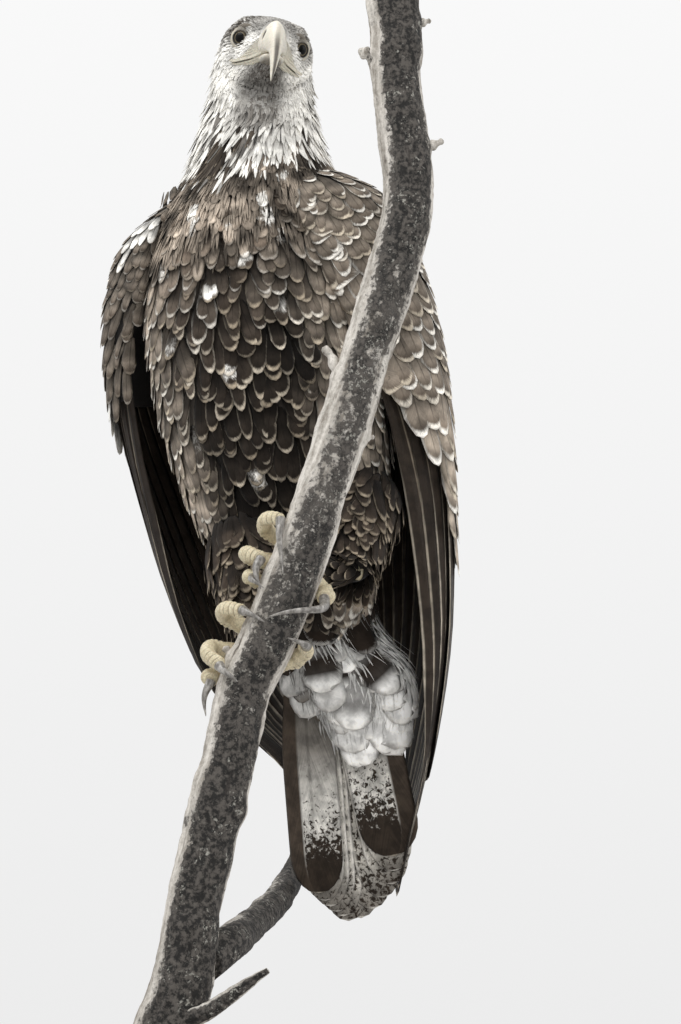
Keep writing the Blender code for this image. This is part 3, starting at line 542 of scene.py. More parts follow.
def painted(surface, p, q, stations, length, colours):
    """Each feather's tones at its stations, in nine values: the base, how strong its pale edge is, the edge's
    colour, the feather's length in decimetres and how blotched it is."""
    v = stations * np.ones((len(p), 1))
    base, strength, fringe, mottle = colours(surface(p, q, 0.0), p, q, v, CHANCE.random(len(p))[:, None])
    tones = base, strength, fringe, (length * 10)[:, None, None], mottle
    return np.concatenate([np.broadcast_to(tone, v.shape + tone.shape[-1:]) for tone in tones], -1)


def on_map(p, q, box):
    """A place of a surface on the bake map. box gives the first and the last of its two parameters."""
    shares = [(at - low) / (high - low) for at, (low, high) in ((q, box[1]), (p, box[0]))]
    return MAP_EDGE + (1 - 2 * MAP_EDGE) * np.stack(shares, -1)


class Coat:
    """A coat piece in the making: vanes, with their place on each feather, their tones and their bake patch."""

    def __init__(self, name, finish):
        self.name, self.finish, self.parts = name, finish, []

    def add(self, surface, p, q, rise, width, thick, cup, slant, ring, stations, tones, root_map, web=None):
        """web (side, share, colour) gives the narrow web past the shaft its own plain colour."""
        points, quads, triangles = vanes(surface, p, q, rise, width, thick, cup, slant, ring)
        count = len(p)
        share = (width[:, :-1] / width.max(1)[:, None])[..., None] * ring[:, 0]
        luck = CHANCE.random(count)
        zero = np.zeros(count)

        def spread(values, root, tip):
            return np.concatenate([values.reshape(count, -1, values.shape[-1]), root[:, None], tip[:, None]], 1)

        vane = np.stack(np.broadcast_arrays(share, stations[:-1, None], luck[:, None, None]), -1)
        vane = spread(vane, np.stack([zero, zero, luck], -1), np.stack([zero, zero + 1, luck], -1))
        around = np.repeat(tones[:, :-1, None], len(ring), 2)
        if web is not None:
            beyond = ring[:, 0] * web[0] > web[1]
            around[:, :, beyond, :3] = web[2]
            around[:, :, beyond, 8] = 0.0
        tones = spread(around, tones[:, 0], tones[:, -1])
        patch = root_map[:, None] + (vane[..., :2] - np.array([0, 0.5])) * PATCH
        self.parts.append(((points.reshape(-1, 3), quads, triangles), vane, tones, patch))

    def grow(self, surface, p, q, length, width, colours, box, *, kind="round", heading=0.0, stray=0.08, bury=0.006,
             lift=0.0015, thick=0.00028, cup=0.16, tilt=0.05, vary=0.14, fine=False):
        """Feathers at roots p, q of a surface. Each is buried at its quill and its tip stands lift proud of the
        outline. stray, tilt and vary are how far headings, slants and sizes differ from one to the next."""
        count = len(p)
        stations, ring = (FINE_STATIONS, FINE_RING) if fine else (STATIONS, RING)
        length = length * (1 + CHANCE.uniform(-vary, vary, count))
        width = width * (1 + CHANCE.uniform(-vary, vary, count))
        heading = heading + CHANCE.normal(0, stray, count)
        tall = lift * CHANCE.uniform(0.3, 1.6, count)
        rise = -bury + (bury + tall)[:, None] * stations**0.8
        along_p, along_q = step_along(surface, p, q, heading, length, stations, rise)
        half = width[:, None] / 2 * outline(stations, kind)
        half = half * (1 + CHANCE.normal(0, 0.05, half.shape))
        tones = painted(surface, along_p, along_q, stations, length, colours)
        slant = CHANCE.normal(0, tilt, count)
        self.add(surface, along_p, along_q, rise, half, thick, cup, slant, ring, stations, tones, on_map(p, q, box))

    def lay_long(self, surface, rows, colours, box, thick=0.0007, cup=0.05, web=None):
        """Flight or tail feathers. Each row gives its root's p and q on the surface, its tip's, its half width,
        how deep its root and tip lie, its slant and where its shaft runs, as a share of its half width."""
        p0, q0, p1, q1, wide, deep0, deep1, slant, shafts = np.moveaxis(np.array(rows)[..., None], 1, 0)
        p, q, rise = (a + (b - a) * LONG_STATIONS for a, b in ((p0, p1), (q0, q1), (deep0, deep1)))
        half = wide * outline(LONG_STATIONS, "long")
        length = np.linalg.norm(np.diff(surface(p, q, 0.0), axis=1), axis=-1).sum(1)
        tones = painted(surface, p, q, LONG_STATIONS, length, colours)
        root_map = on_map(p0[:, 0], q0[:, 0], box)
        for shaft in np.unique(shafts):
            ring = LONG_RING.copy()
            ring[[3, 4, 5, 10], 0] += shaft
            ring[2, 0], ring[6, 0] = (ring[1, 0] + ring[3, 0]) / 2, (ring[7, 0] + ring[5, 0]) / 2
            m = shafts[:, 0] == shaft
            self.add(surface, p[m], q[m], rise[m], half[m], thick, cup, slant[m, 0], ring, LONG_STATIONS, tones[m],
                     root_map[m], web)

    def finish_piece(self, *nodes):
        shells, vane, tones, patch = zip(*self.parts)
        vane, tones, patch = (np.concatenate([part.reshape(-1, part.shape[-1]) for part in parts])
                              for parts in (vane, tones, patch))
        marks = [("vane", vane), ("base", tones[:, :4]), ("fringe", tones[:, 4:8]), ("mottle", tones[:, 8])]
        mesh_piece(self.name, join(shells), self.finish, marks, np.clip(patch, 0.001, 0.999), nodes)


def sow(surface, first, last, low, high, along, across, wobble):
    """Roots in staggered rows between two places of a surface's first parameter and two of its second. along and
    across are the spacings in metres, and either may be a function of the first parameter. wobble is how far each
    root strays, as a share of them."""
    all_p, all_q = [], []
    p, row = first, 0
    while p < last:
        reach, gap = (size(p) if callable(size) else size for size in (along, across))
        q = np.linspace(low, high, 25)
        lengths = run_of(surface(np.full(25, p), q))
        count = max(int(lengths[-1] / gap), 1)
        at = (np.arange(count) + (0.25 if row % 2 else 0.75)) / count * lengths[-1]
        at = at + CHANCE.uniform(-wobble, wobble, count) * gap
        step = reach / np.linalg.norm(slopes(surface, p, (low + high) / 2, 0.0)[0])
        all_p.append(p + CHANCE.uniform(-wobble, wobble, count) * step)
        all_q.append(np.interp(at, lengths, q))
        p, row = p + step, row + 1
    return np.concatenate(all_p), np.concatenate(all_q)


# -------------------- finishes


class Value:
    """A socket of a finish. Its sums and products with others, or with plain numbers, make the nodes for them."""

    def __init__(self, finish, socket):
        self.finish, self.socket = finish, socket

    def __add__(self, other):
        return self.finish.math("ADD", self, other)

    def __sub__(self, other):
        return self.finish.math("SUBTRACT", self, other)

    def __rsub__(self, other):
        return self.finish.math("SUBTRACT", other, self)

    def __mul__(self, other):
        return self.finish.math("MULTIPLY", self, other)

    def __pow__(self, power):
        return self.finish.math("POWER", self, power)


class Finish:
    """A node-based finish in the making. Each step takes sockets or plain numbers and gives a socket."""

    def __init__(self, name, roughness, **plain):
        self.made = bpy.data.materials.new(name)
        self.made.use_nodes = True
        self.tree = self.made.node_tree
        self.shader = self.tree.nodes["Principled BSDF"]
        self.shader.inputs["Roughness"].default_value = roughness
        for key, value in plain.items():
            self.shader.inputs[key.replace("_", " ")].default_value = value

    def node(self, kind, inputs, output=0, **settings):
        made = self.tree.nodes.new("ShaderNode" + kind)
        for key, value in settings.items():
            setattr(made, key, value)
        for key, value in inputs.items():
            if isinstance(value, Value):
                self.tree.links.new(value.socket, made.inputs[key])
            else:
                made.inputs[key].default_value = (*value, 1.0) if made.inputs[key].type == "RGBA" else value
        return Value(self, made.outputs[output])

    def math(self, operation, a, b=0.0):
        return self.node("Math", {0: a, 1: b}, operation=operation)

    def step(self, value, low, high, to_low=0.0, to_high=1.0):
        between_these = {0: value, 1: low, 2: high, 3: to_low, 4: to_high}
        return self.node("MapRange", between_these, interpolation_type="SMOOTHSTEP")

    def mix(self, share, a, b, blend="MIX"):
        return self.node("Mix", {0: share, 6: a, 7: b}, 2, data_type="RGBA", blend_type=blend)

    def attribute(self, name, output="Fac"):
        return self.node("Attribute", {}, output, attribute_name=name)

    def noise(self, scale, detail=3.0, rough=0.5, bend=0.0, at=None, squeeze=None):
        """Noise at a place, which is the object's own if none is given, and may be squeezed first."""
        place = at or self.node("TexCoord", {}, "Object")
        if squeeze:
            place = self.node("Mapping", {"Vector": place, "Scale": squeeze})
        inputs = {"Vector": place, "Scale": scale, "Detail": detail, "Roughness": rough, "Distortion": bend}
        return self.node("TexNoise", inputs)

    def cells(self, scale):
        """The distance to the nearest of many scattered points."""
        place = self.node("TexCoord", {}, "Object")
        return self.node("TexVoronoi", {"Vector": place, "Scale": scale}, "Distance", feature="F1")

    def shade(self, colour, value):
        """The colour multiplied by a grey value."""
        return self.mix(1.0, colour, self.node("CombineColor", {0: value, 1: value, 2: value}), "MULTIPLY")

    def finish(self, colour, height=None, distance=0.0, strength=1.0, rough=None):
        """The finish with this colour, and if given its bumps and its roughness."""
        found = {"Base Color": colour, "Roughness": rough}
        if height is not None:
            found["Normal"] = self.node("Bump", {"Height": height, "Distance": distance, "Strength": strength})
        for key, value in found.items():
            if value is not None:
                self.tree.links.new(value.socket, self.shader.inputs[key])
        return self.made


DARK, BROWN, MIDDLE, LIGHT, TAN, PALE, WHITE = np.array([
    (0.0130, 0.0095, 0.0072), (0.052, 0.039, 0.029), (0.128, 0.105, 0.083), (0.262, 0.222, 0.180),
    (0.33, 0.275, 0.205), (0.58, 0.52, 0.425), (0.86, 0.84, 0.79),
])


def feather_finish(name, roughness, edge, shaft, blotch_scale, tip=0.5, fray=0.35, grain=0.9, spots=DARK, barbs=110.0,
                   root=1.0):
    """Feathers: the attribute vane gives the place across, along and a chance; base and fringe its two colours.
    The pale fringe follows the vane's edge and round its tip, wider where it is strong, broken up by the barbs.
    A root below 1 paints shade on each feather towards its root, where the next ones lie over it, and lightens its tip."""
    f = Finish(name, roughness, Sheen_Weight=0.03, Sheen_Roughness=0.5, Specular_IOR_Level=0.10)
    vane = f.attribute("vane", "Vector")
    across, v, luck = (f.node("SeparateXYZ", {0: vane}, axis) for axis in "XYZ")
    (base, strength), (fringe, length) = (
        [f.attribute(name, output) for output in ("Color", "Alpha")] for name in ("base", "fringe")
    )
    mottle, off = f.attribute("mottle"), f.math("ABSOLUTE", across)
    barb = (v - off * 0.35) * length * barbs
    streak = f.noise(1.0, rough=0.6, at=f.node("CombineXYZ", {0: barb, 1: across * 1.6, 2: luck * 41.0}))
    frayed = (off**2 + f.step(v, tip, 1.0) ** 4) ** 0.5 + (streak - 0.5) * fray
    rim = f.step(frayed, edge[0] + 0.07 - strength * 0.20, edge[1]) * strength
    blotches = f.noise(blotch_scale, rough=0.65, bend=0.6)
    blotched = f.step(blotches + mottle - 0.5, 0.5, 0.62) * f.step(mottle, 0.02, 0.12)
    splashed = f.step(streak * 0.35 + blotches * 0.65 - mottle - 0.5, 0.34, 0.64) * f.step(mottle, -0.02, -0.12)
    ground = f.mix(splashed * 0.85, f.mix(blotched, base, spots), WHITE)
    quill = f.step(off, 0.085, 0.02) * f.step(v, 0.95, 0.6)
    colour = f.mix(quill * abs(shaft), f.mix(rim, ground, fringe), TAN if shaft > 0 else DARK)
    cloud = f.step(f.noise(70.0, rough=0.6), 0.34, 0.66, 0.72, 1.26)
    # Painted shade: below 1, root darkens each feather towards its root, where the next ones lie over it, and lightens
    # its tip.
    tone = (streak * grain + (1 - grain / 2)) * cloud * f.step(v, 0.42, 0.80, root, 1.55 - 0.55 * root)
    return f.finish(f.shade(colour, tone), streak + quill, 0.0005, 0.55)


def down_finish():
    """The soft down under the coat, in the coat's own colours."""
    f = Finish("down", 0.92, Sheen_Weight=0.15)
    lines = f.noise(900.0, rough=0.6, squeeze=(1.0, 1.0, 0.25))
    return f.finish(f.shade(f.attribute("base", "Color"), lines * 0.8 + 0.45), lines, 0.0006, 0.6)


def horn_finish():
    """Bill horn: mottled growth lines across the colours of the attribute mark."""
    f = Finish("bill_horn_grown", 0.34, Coat_Weight=0.25, Coat_Roughness=0.25, Subsurface_Weight=0.08,
               Subsurface_Radius=(0.004, 0.002, 0.001))
    cloud, lines = f.noise(160.0, 4.0, 0.6), f.noise(420.0, rough=0.6, squeeze=(0.35, 0.35, 1.6))
    colour = f.shade(f.attribute("mark", "Color"), cloud * 0.45 + 0.62 + lines * 0.30)
    return f.finish(colour, lines * 0.5 + cloud, 0.0004, 0.35, f.step(lines, 0.3, 0.8, 0.26, 0.48))


def skin_finish():
    """Bare skin in the colours of the attribute mark: small pebbled scales, darker in their grooves."""
    f = Finish("lid_skin", 0.50, Subsurface_Weight=0.05, Subsurface_Radius=(0.004, 0.0015, 0.0008))
    groove = f.step(f.cells(1500.0), 0.25, 0.75)
    tone = f.noise(375.0) * 0.5 + f.step(groove, 0.0, 1.0, 0.85, 0.55)
    return f.finish(f.shade(f.attribute("mark", "Color"), tone), 1.0 - groove, 0.00015, 0.7)


def toe_finish():
    """Feet: yellow scutes across the top of each toe, from the attribute scute, with painted shade in the gaps between
    them, and pebbled pads below.
    """
    f = Finish("yellow_feet", 0.52, Subsurface_Weight=0.06, Subsurface_Radius=(0.004, 0.0015, 0.0008))
    gap, cells = f.step(f.attribute("scute"), 0.05, 0.62), f.cells(620.0)
    skin = f.mix(f.noise(150.0), (0.54, 0.46, 0.29), (0.76, 0.69, 0.51))
    skin = f.mix(f.step(f.noise(70.0, 4.0, 0.65), 0.56, 0.72, 0.0, 0.55), skin, (0.20, 0.16, 0.11))
    skin = f.mix(f.step(cells, 0.35, 0.75) * 0.35, skin, (0.26, 0.20, 0.12))
    # Painted shade: dark brown in the gaps between scutes.
    return f.finish(f.mix(gap, (0.11, 0.085, 0.055), skin), gap - cells * 0.5, 0.0005, 0.7)


def claw_finish():
    """Claw horn: dark grey, smooth and streaked lengthways; the pale streaks are partly the horn's own and partly
    painted highlights.
    """
    f = Finish("claw_horn_grown", 0.30, Coat_Weight=0.2, Coat_Roughness=0.2)
    lines = f.noise(300.0, rough=0.6, squeeze=(1.0, 1.0, 0.5))
    # Painted highlight: the streaks' pale grey is partly painted highlight on darker horn.
    colour = f.mix(f.step(lines, 0.35, 0.75), (0.120, 0.110, 0.098), (0.40, 0.38, 0.35))
    return f.finish(colour, lines, 0.0002, 0.4)


def eye_finish():
    """The eye: the attribute gaze is the distance from its axis in millimetres. Black pupil, a pale iris with
    fine rays and a dark rim, under a clear wet coat."""
    f = Finish("eye_wet", 0.35, Coat_Weight=0.16, Coat_Roughness=0.02, Specular_IOR_Level=0.05)
    gaze = f.attribute("gaze")
    iris = f.mix(f.noise(1.0, 2.0, 0.6, at=f.attribute("rays", "Vector")), (0.050, 0.040, 0.026), (0.20, 0.165, 0.110))
    iris = f.mix(f.step(gaze, 5.2, 6.6), iris, (0.030, 0.023, 0.016))
    iris = f.mix(f.step(gaze, 5.0, 4.2), iris, (0.002, 0.002, 0.002))
    return f.finish(f.mix(f.step(gaze, 8.6, 9.2), iris, (0.012, 0.010, 0.009)))


def bark_finish():
    """Weathered bark: grey-brown with dark lichen-spotted patches on one side, partly scabs and partly painted shade,
    pale bare wood on the other, from the attribute weather, and fine cracks lengthways."""
    f = Finish("weathered_bark", 0.88)
    unrolled = f.attribute("unrolled", "Vector")
    coarse = f.noise(26.0, 5.0, 0.65, 0.4, unrolled, (1.0, 1.0, 0.5))
    cracks = f.noise(120.0, 4.0, 0.65, at=unrolled, squeeze=(1.0, 1.0, 0.13))
    fine = f.noise(190.0, 5.0, 0.7)
    wood = f.mix(f.step(cracks * 0.6 + fine * 0.4, 0.32, 0.66), (0.215, 0.190, 0.158), (0.74, 0.70, 0.64))
    dark_bark = f.mix(f.step(fine, 0.42, 0.62), (0.008, 0.007, 0.006), (0.090, 0.080, 0.070))
    scabs_and_shade = f.step(f.attribute("weather") + (coarse + fine) * 1.7 - 1.7, 0.36, 0.66)
    lichen = f.step(f.noise(300.0, rough=0.7), 0.55, 0.64) * f.step(f.noise(48.0), 0.50, 0.60)
    colour = f.mix(lichen * 0.8, f.mix(scabs_and_shade, wood, dark_bark), (0.36, 0.35, 0.31))
    colour = f.mix(f.step(cracks, 0.36, 0.30, 0.0, 0.7), colour, (0.025, 0.02, 0.017))
    return f.finish(colour, cracks * 1.2 + fine + scabs_and_shade * 0.5, 0.0016, 0.8)


def end_grain_finish():
    """Sawn wood: rings about the cut's middle, from the attribute ring, and rays across them."""
    f = Finish("sawn_end", 0.80)
    wave = f.math("SINE", f.noise(60.0) * 5.0 + f.attribute("ring") * 2600.0)
    colour = f.mix(f.step(wave, -0.6, 0.9), (0.50, 0.40, 0.27), (0.31, 0.225, 0.14))
    colour = f.mix(f.step(f.noise(240.0, 4.0), 0.5, 0.7, 0.0, 0.4), colour, (0.16, 0.12, 0.08))
    return f.finish(colour, wave, 0.0003, 0.5)


def plinth_finish():
    """Dark oiled wood with a straight, slightly wavy grain and pores."""
    f = Finish("oiled_wood", 0.42, Coat_Weight=0.15, Coat_Roughness=0.3)
    grain = f.noise(38.0, 5.0, 0.6, 0.8, squeeze=(0.09, 1.0, 1.0))
    pores = f.noise(520.0, rough=0.6, squeeze=(0.05, 1.0, 1.0))
    wood = f.mix(f.step(grain, 0.35, 0.65), (0.075, 0.040, 0.022), (0.185, 0.105, 0.058))
    wood = f.mix(f.step(pores, 0.56, 0.68, 0.0, 0.7), wood, (0.028, 0.015, 0.009))
    return f.finish(wood, 1.0 - pores, 0.0003, 0.4, f.step(pores, 0.4, 0.7, 0.36, 0.60))


def metal_finish():
    """Brushed dark steel."""
    f = Finish("brushed_steel", 0.36, Metallic=1.0)
    lines = f.noise(700.0, rough=0.6, squeeze=(1.0, 1.0, 0.04))
    colour = f.mix(lines, (0.20, 0.20, 0.205), (0.36, 0.36, 0.365))
    return f.finish(colour, lines, 0.0001, 0.4, f.step(lines, 0.3, 0.7, 0.28, 0.46))


# The body feathers carry painted shade towards their roots, from root=0.45.
PLUMES = feather_finish("body_feathers", 0.78, (0.80, 0.96), -0.45, 130.0, root=0.45)
FINE_PLUMES = feather_finish("head_feathers", 0.85, (0.72, 1.05), -0.10, 260.0, fray=0.5, grain=0.45)
QUILLS = feather_finish("flight_feathers", 0.50, (0.93, 0.98), 0.45, 120.0, 0.95, 0.10, barbs=45.0)
TAIL_PLUMES = feather_finish("tail_feathers", 0.62, (0.89, 0.97), -0.30, 230.0, 0.96, 0.12, 1.1,
                             (0.030, 0.022, 0.016), 40.0)
SOFT_PLUMES = feather_finish("under_tail_feathers", 0.88, (0.80, 1.0), -0.10, 170.0, fray=0.6, grain=0.32)
DOWN, HORN, LID_SKIN, TOE_SKIN, CLAW, EYE = (
    make() for make in (down_finish, horn_finish, skin_finish, toe_finish, claw_finish, eye_finish)
)
BARK, END_GRAIN, WOOD, STEEL = (make() for make in (bark_finish, end_grain_finish, plinth_finish, metal_finish))

# -------------------- the plumage's colours

# Each function whose name ends in colours gives those of feathers at their stations, from where each is, its two
# parameters, v along the feather from 0 to 1, and luck, the feather's own draw from 0 to 1.


def blend(share, a, b):
    share = np.asarray(share)[..., None]
    return (1 - share) * np.asarray(a) + share * np.asarray(b)


def shade(colour, share):
    return colour * share[..., None]


def reroll(luck, factor):
    """Another draw from 0 to 1 for each feather."""
    return (luck * factor) % 1.0


def coloured(base, strength, fringe, mottle=0.0):
    """The base, how strong the pale edge is, the edge's colour and the mottling. Below 0 that is a white splash."""
    return base, np.clip(strength, 0, 1)[..., None], np.asarray(fringe), np.clip(mottle, -1, 1)[..., None]


# White patches of the breast: place along the body, angle round it in degrees, half length, half width, strength.
PATCHES = [
    (9.22, -24, 0.2, 4, 0.9), (9.48, -20, 0.22, 3, 0.8), (9.25, 22, 0.2, 3.2, 0.9), (9.58, 24, 0.2, 3.6, 0.9),
    (8.75, 36, 0.2, 4, 0.8), (10.5, -17, 0.13, 4.5, 0.95), (10.58, -10, 0.12, 4, 0.95), (10.05, -74, 0.3, 5, 0.8),
    (9.62, 2, 0.12, 3, 0.6), (10.2, 9, 0.14, 4, 0.7), (11.6, -7, 0.4, 2.2, 0.75), (11.1, -38, 0.35, 5, 0.5),
    (12.9, -2, 0.25, 2.5, 0.6), (12.2, -36, 0.4, 5, 0.45), (10.9, 24, 0.25, 3.5, 0.5), (10.1, -40, 0.3, 5, 0.45),
    (9.9, 30, 0.25, 4, 0.5),
]


def white_share(p, q):
    """How white the plumage is at a place along the body and an angle round it, near its pale patches."""
    degrees = signed_degrees(q)
    return np.max([bell(p, place, long) * bell(degrees, middle, wide) * strength
                   for place, middle, long, wide, strength in PATCHES], axis=0)


def breast_colours(where, p, q, v, luck):
    """Breast and belly: soft mid brown above, dark centres with pale scalloped edges at the middle, darker with
    thin pale arcs below, and white splashes here and there."""
    root_p, one, two = p[:, :1], reroll(luck, 7.13), reroll(luck, 31.7)
    upper = 1 - ramp(root_p, 9.3, 10.7)
    flank = ramp(np.degrees(np.abs(q[:, :1])), 25, 60)
    low = (1 - flank) * ramp(root_p, 10.9, 12.0)
    base = blend(upper, blend(ramp(one, 0.2, 1.0) * (0.15 + 0.75 * flank), DARK, BROWN), blend(one, BROWN * 1.1, LIGHT))
    band = (0.12 + 0.22 * flank) * bell(v, 0.66, 0.16) * two
    base = shade(blend((1 - v) ** 1.5 * (0.22 + 0.2 * flank) + band, base, MIDDLE), 1 - 0.40 * low)
    base = blend(flank * (0.50 + 0.50 * ramp(one, 0, 0.8)) * (1 - upper) * ramp(v, 1.02, 0.6), base, LIGHT * 1.9)
    base = shade(base, (1 + 0.45 * bell(root_p, 10.5, 0.6)) * (1 - 0.35 * ramp(root_p, 8.9, 8.2)))
    base = shade(base, 0.30 + 1.4 * lattice(where[:, :1], 0.040, 5))
    cloud = 0.6 * lattice(where, 0.017, 11) + 0.4 * lattice(where, 0.0075, 12)
    base = blend(upper, base, shade(base, 0.25 + 1.7 * ramp(cloud, 0.25, 0.75)))
    strength = np.interp(root_p, [8.5, 9.3, 10.0, 10.6, 11.6, 13.0, 14.4, 16], [0.15, 0.45, 0.75, 0.92, 1, 1, 0.9, 0.6])
    strength = strength * (1 - 0.42 * low) * (0.32 + 1.05 * two) + 0.30 * flank
    fringe = blend(np.clip(ramp(luck, 0.1, 0.9) * (0.6 + 0.4 * flank) + 0.4 * flank, 0, 1), TAN, PALE)
    fringe = blend(0.6 * np.maximum(flank, ramp(root_p, 11.2, 10.2)) * ramp(luck, 0.3, 0.8), fringe, WHITE)
    white = white_share(p, q)
    return coloured(base, strength, blend(0.75 * upper, fringe, MIDDLE), np.where(white > 0.05, -white, 0.08 * upper))


def soft_colours(where, p, q, v, luck):
    """The same for the loose barbs, but with tones that drift slowly from one to the next."""
    return breast_colours(where, p, q, v, 0.075 + 0.055 * lattice(where[:, :1], 0.013, 21) + 0.006 * luck)


def hackle_colours(where, p, q, v, luck):
    """Neck: white pointed hackles among dark ones, most dark down the middle of the throat's foot."""
    root_p, root_q, three = p[:, :1], q[:, :1], reroll(luck, 3.7)
    degrees = np.abs(signed_degrees(root_q))
    middle = bell(np.degrees(root_q + 0.42), 0, 19) * ramp(root_p, 6.0, 6.9)
    low, nape, early = ramp(root_p, 8.1, 9.2), ramp(degrees, 95, 150), ramp(root_p, 6.5, 5.5)
    share = 0.5 * lattice(where[:, :1], 0.017, 3) + 0.5 * three - 0.34 * middle - 0.26 * low - 0.16 * nape
    chin = ramp(degrees, 36, 14) * ramp(root_p, 6.6, 5.8)
    collar = np.clip(0.98 - 0.66 * chin + 0.30 * (three - 0.6), 0, 1) * (1 - 0.55 * nape)
    pale = (1 - early) * ramp(share, 0.19, 0.33) + early * collar
    side = blend(np.clip(ramp(v, 0.05, 0.45) + 0.8 * early, 0, 1) * pale, BROWN, WHITE)
    dark = blend(reroll(luck, 5.3), DARK, MIDDLE)
    base = blend(np.maximum(early, pale * (0.35 + 0.65 * ramp(v, 0.0, 0.35))), dark, side)
    return coloured(base, (0.35 + 0.4 * (1 - pale)) * (1 - 0.7 * early), blend(pale, TAN, WHITE))


# The bare skin of the face: places along the head, then degrees round from the throat of its lower edge, of the
# mouth's line and of its upper edge.
BARE_EDGES = (
    ((0.0, 1.0, 1.4, 1.8, 2.2, 2.7, 3.25), (10, 20, 25, 31, 40, 49, 57)),
    ((0.0, 1.4, 1.9, 2.5, 3.0, 3.25), (26, 40.5, 46, 51, 56, 59)),
    ((0.0, 0.7, 1.3, 1.9, 2.5, 3.0, 3.25), (86, 78, 66, 58, 58, 60, 62)),
)


def head_colours(where, p, q, v, luck):
    """Head: whitish cheeks, a grey-brown crown and forehead, painted shade round the eye and dark plumage behind it,
    and a dark chin whose patch runs down the throat."""
    root, root_p = where[:, :1], p[:, :1]
    left, forward, up = head_parts(root)
    streak = 0.5 * lattice(root * (1.0, 0.55, 1.0), 0.0065, 7) + 0.5 * reroll(luck, 9.1) - 0.5
    crown = ramp(up, -0.004, 0.011)
    behind = bell(up, -0.001, 0.011) * ramp(forward, -0.004, -0.018) * ramp(np.abs(left), 0.014, 0.026)
    chin = ramp(np.abs(signed_degrees(q[:, :1])), 46 - 8 * ramp(root_p, 3.5, 5.0), 20)
    chin = chin * ramp(root_p, 0.0, 0.5) * ramp(root_p, 6.3, 5.5)
    # The bell darkens a ring round each eye: painted shade. The dark stripe behind the eye is plumage.
    tone = 1.02 - 0.72 * crown - 0.40 * bell(eye_distance(root), 0.0125, 0.0045) - 0.45 * behind
    tone = tone - 0.10 * ramp(forward, 0.000, 0.020) * (1 - crown)
    tone = tone * (1 - chin) + (0.11 + 0.26 * ramp(root_p, 1.5, 5.0)) * chin
    pale = np.clip(tone + streak * (0.34 + 0.55 * np.maximum(crown * ramp(forward, 0.022, 0.0), behind)), 0.02, 1)
    base = shade(blend(pale, (0.042, 0.033, 0.026), (0.92, 0.90, 0.85)), 0.90 + 0.2 * ramp(v, 0, 0.7))
    strength = 0.10 + 0.55 * np.maximum(crown * ramp(forward, 0.020, -0.004), behind)
    return coloured(base, strength, blend(pale, TAN, WHITE))


def covert_colours(where, p, q, v, luck, plain, light, splashed):
    """Wing coverts: dark brown with crisp pale edges, plainer on the shoulder's top and ahead of a line across.
    light makes their middles paler, and splashed is how strong their white splashes are."""
    root_p, root_q, one, two = p[:, :1], q[:, :1], reroll(luck, 7.13), reroll(luck, 17.7)
    base = shade(blend(0.75 * one + 0.25 * light, DARK, BROWN), 0.35 + 1.5 * lattice(where, 0.026, 8))
    base = blend(light * (0.55 + 0.45 * one) * ramp(v, 1.0, 0.55), base, LIGHT * 1.15)
    base = shade(base, 1 + 0.9 * ramp(root_p, 0.20, 0.42))
    base = blend((1 - ramp(v, 0.2, 0.75)) * 0.30 * two, base, PALE)
    strength = (0.62 + 0.5 * two) * np.interp(root_p, [0.0, 0.10, 0.2, 0.6], [0.55, 0.8, 1.0, 0.9])
    strength = np.clip(strength + 0.3 * light, 0, 1) * (1 - 0.70 * ramp(root_q, plain, plain - 0.10))
    fringe = blend(np.clip(ramp(luck, 0.2, 0.9) + 0.5 * light, 0, 1), TAN, PALE)
    fringe = blend(0.75 * light * ramp(luck, 0.2, 0.8), fringe, WHITE)
    splash = splashed * ramp(lattice(where[:, :1], 0.024, 31), 0.54, 0.70) * ramp(root_q, 0.55, 0.25)
    return coloured(base, strength, fringe, -splash)


def flight_colours(where, p, q, v, luck):
    """Flight feathers: near-black brown, a little paler on the outer ones' edges and tips."""
    fringe = blend(0.3 + 0.7 * luck, TAN, PALE)
    return coloured(blend(0.05 + 0.45 * luck, DARK, BROWN), 0.55 + 0.45 * reroll(luck, 7.7), fringe)


def mantle_colours(where, p, q, v, luck):
    """Back: dark brown feathers with thin tan edges."""
    base = shade(blend(0.8 * reroll(luck, 7.13), BROWN, MIDDLE), 0.7 + 0.6 * lattice(where[:, :1], 0.05, 4))
    return coloured(base, 0.35 + 0.45 * reroll(luck, 13.7), TAN)


def trouser_colours(where, p, q, v, luck):
    """Thighs: dark, loose, with tan tips."""
    return coloured(blend(0.9 * reroll(luck, 7.13), DARK, BROWN), 0.30 + 0.5 * reroll(luck, 13.7), TAN)


def tail_colours(where, p, q, v, luck):
    """Outer tail feathers: white at the root, ever denser speckles outwards, then a dark end."""
    speckle = np.interp(v, [0.2, 0.45, 0.62, 0.75, 0.86, 0.93], [0.27, 0.34, 0.42, 0.50, 0.66, 0.98])
    web = blend(ramp(v, 0.38, 0.70), (0.15, 0.137, 0.120), (0.62, 0.60, 0.555))
    base = blend(ramp(v, 0.80, 0.93), web, BROWN)
    return coloured(base, 0.04 + 0.75 * ramp(v, 0.93, 0.98), PALE, speckle + 0.05 * (luck - 0.5) + 0.06 * (q > 0))


def inner_tail_colours(where, p, q, v, luck):
    """Inner tail feathers: mottled all over, dark before the pale edge of the tip."""
    base = blend(0.05 + 0.60 * ramp(v, 0.88, 0.99), (0.50, 0.475, 0.425), BROWN)
    return coloured(base, 1.0, (0.70, 0.67, 0.61), 0.44 + 0.12 * luck + 0.04 * v)


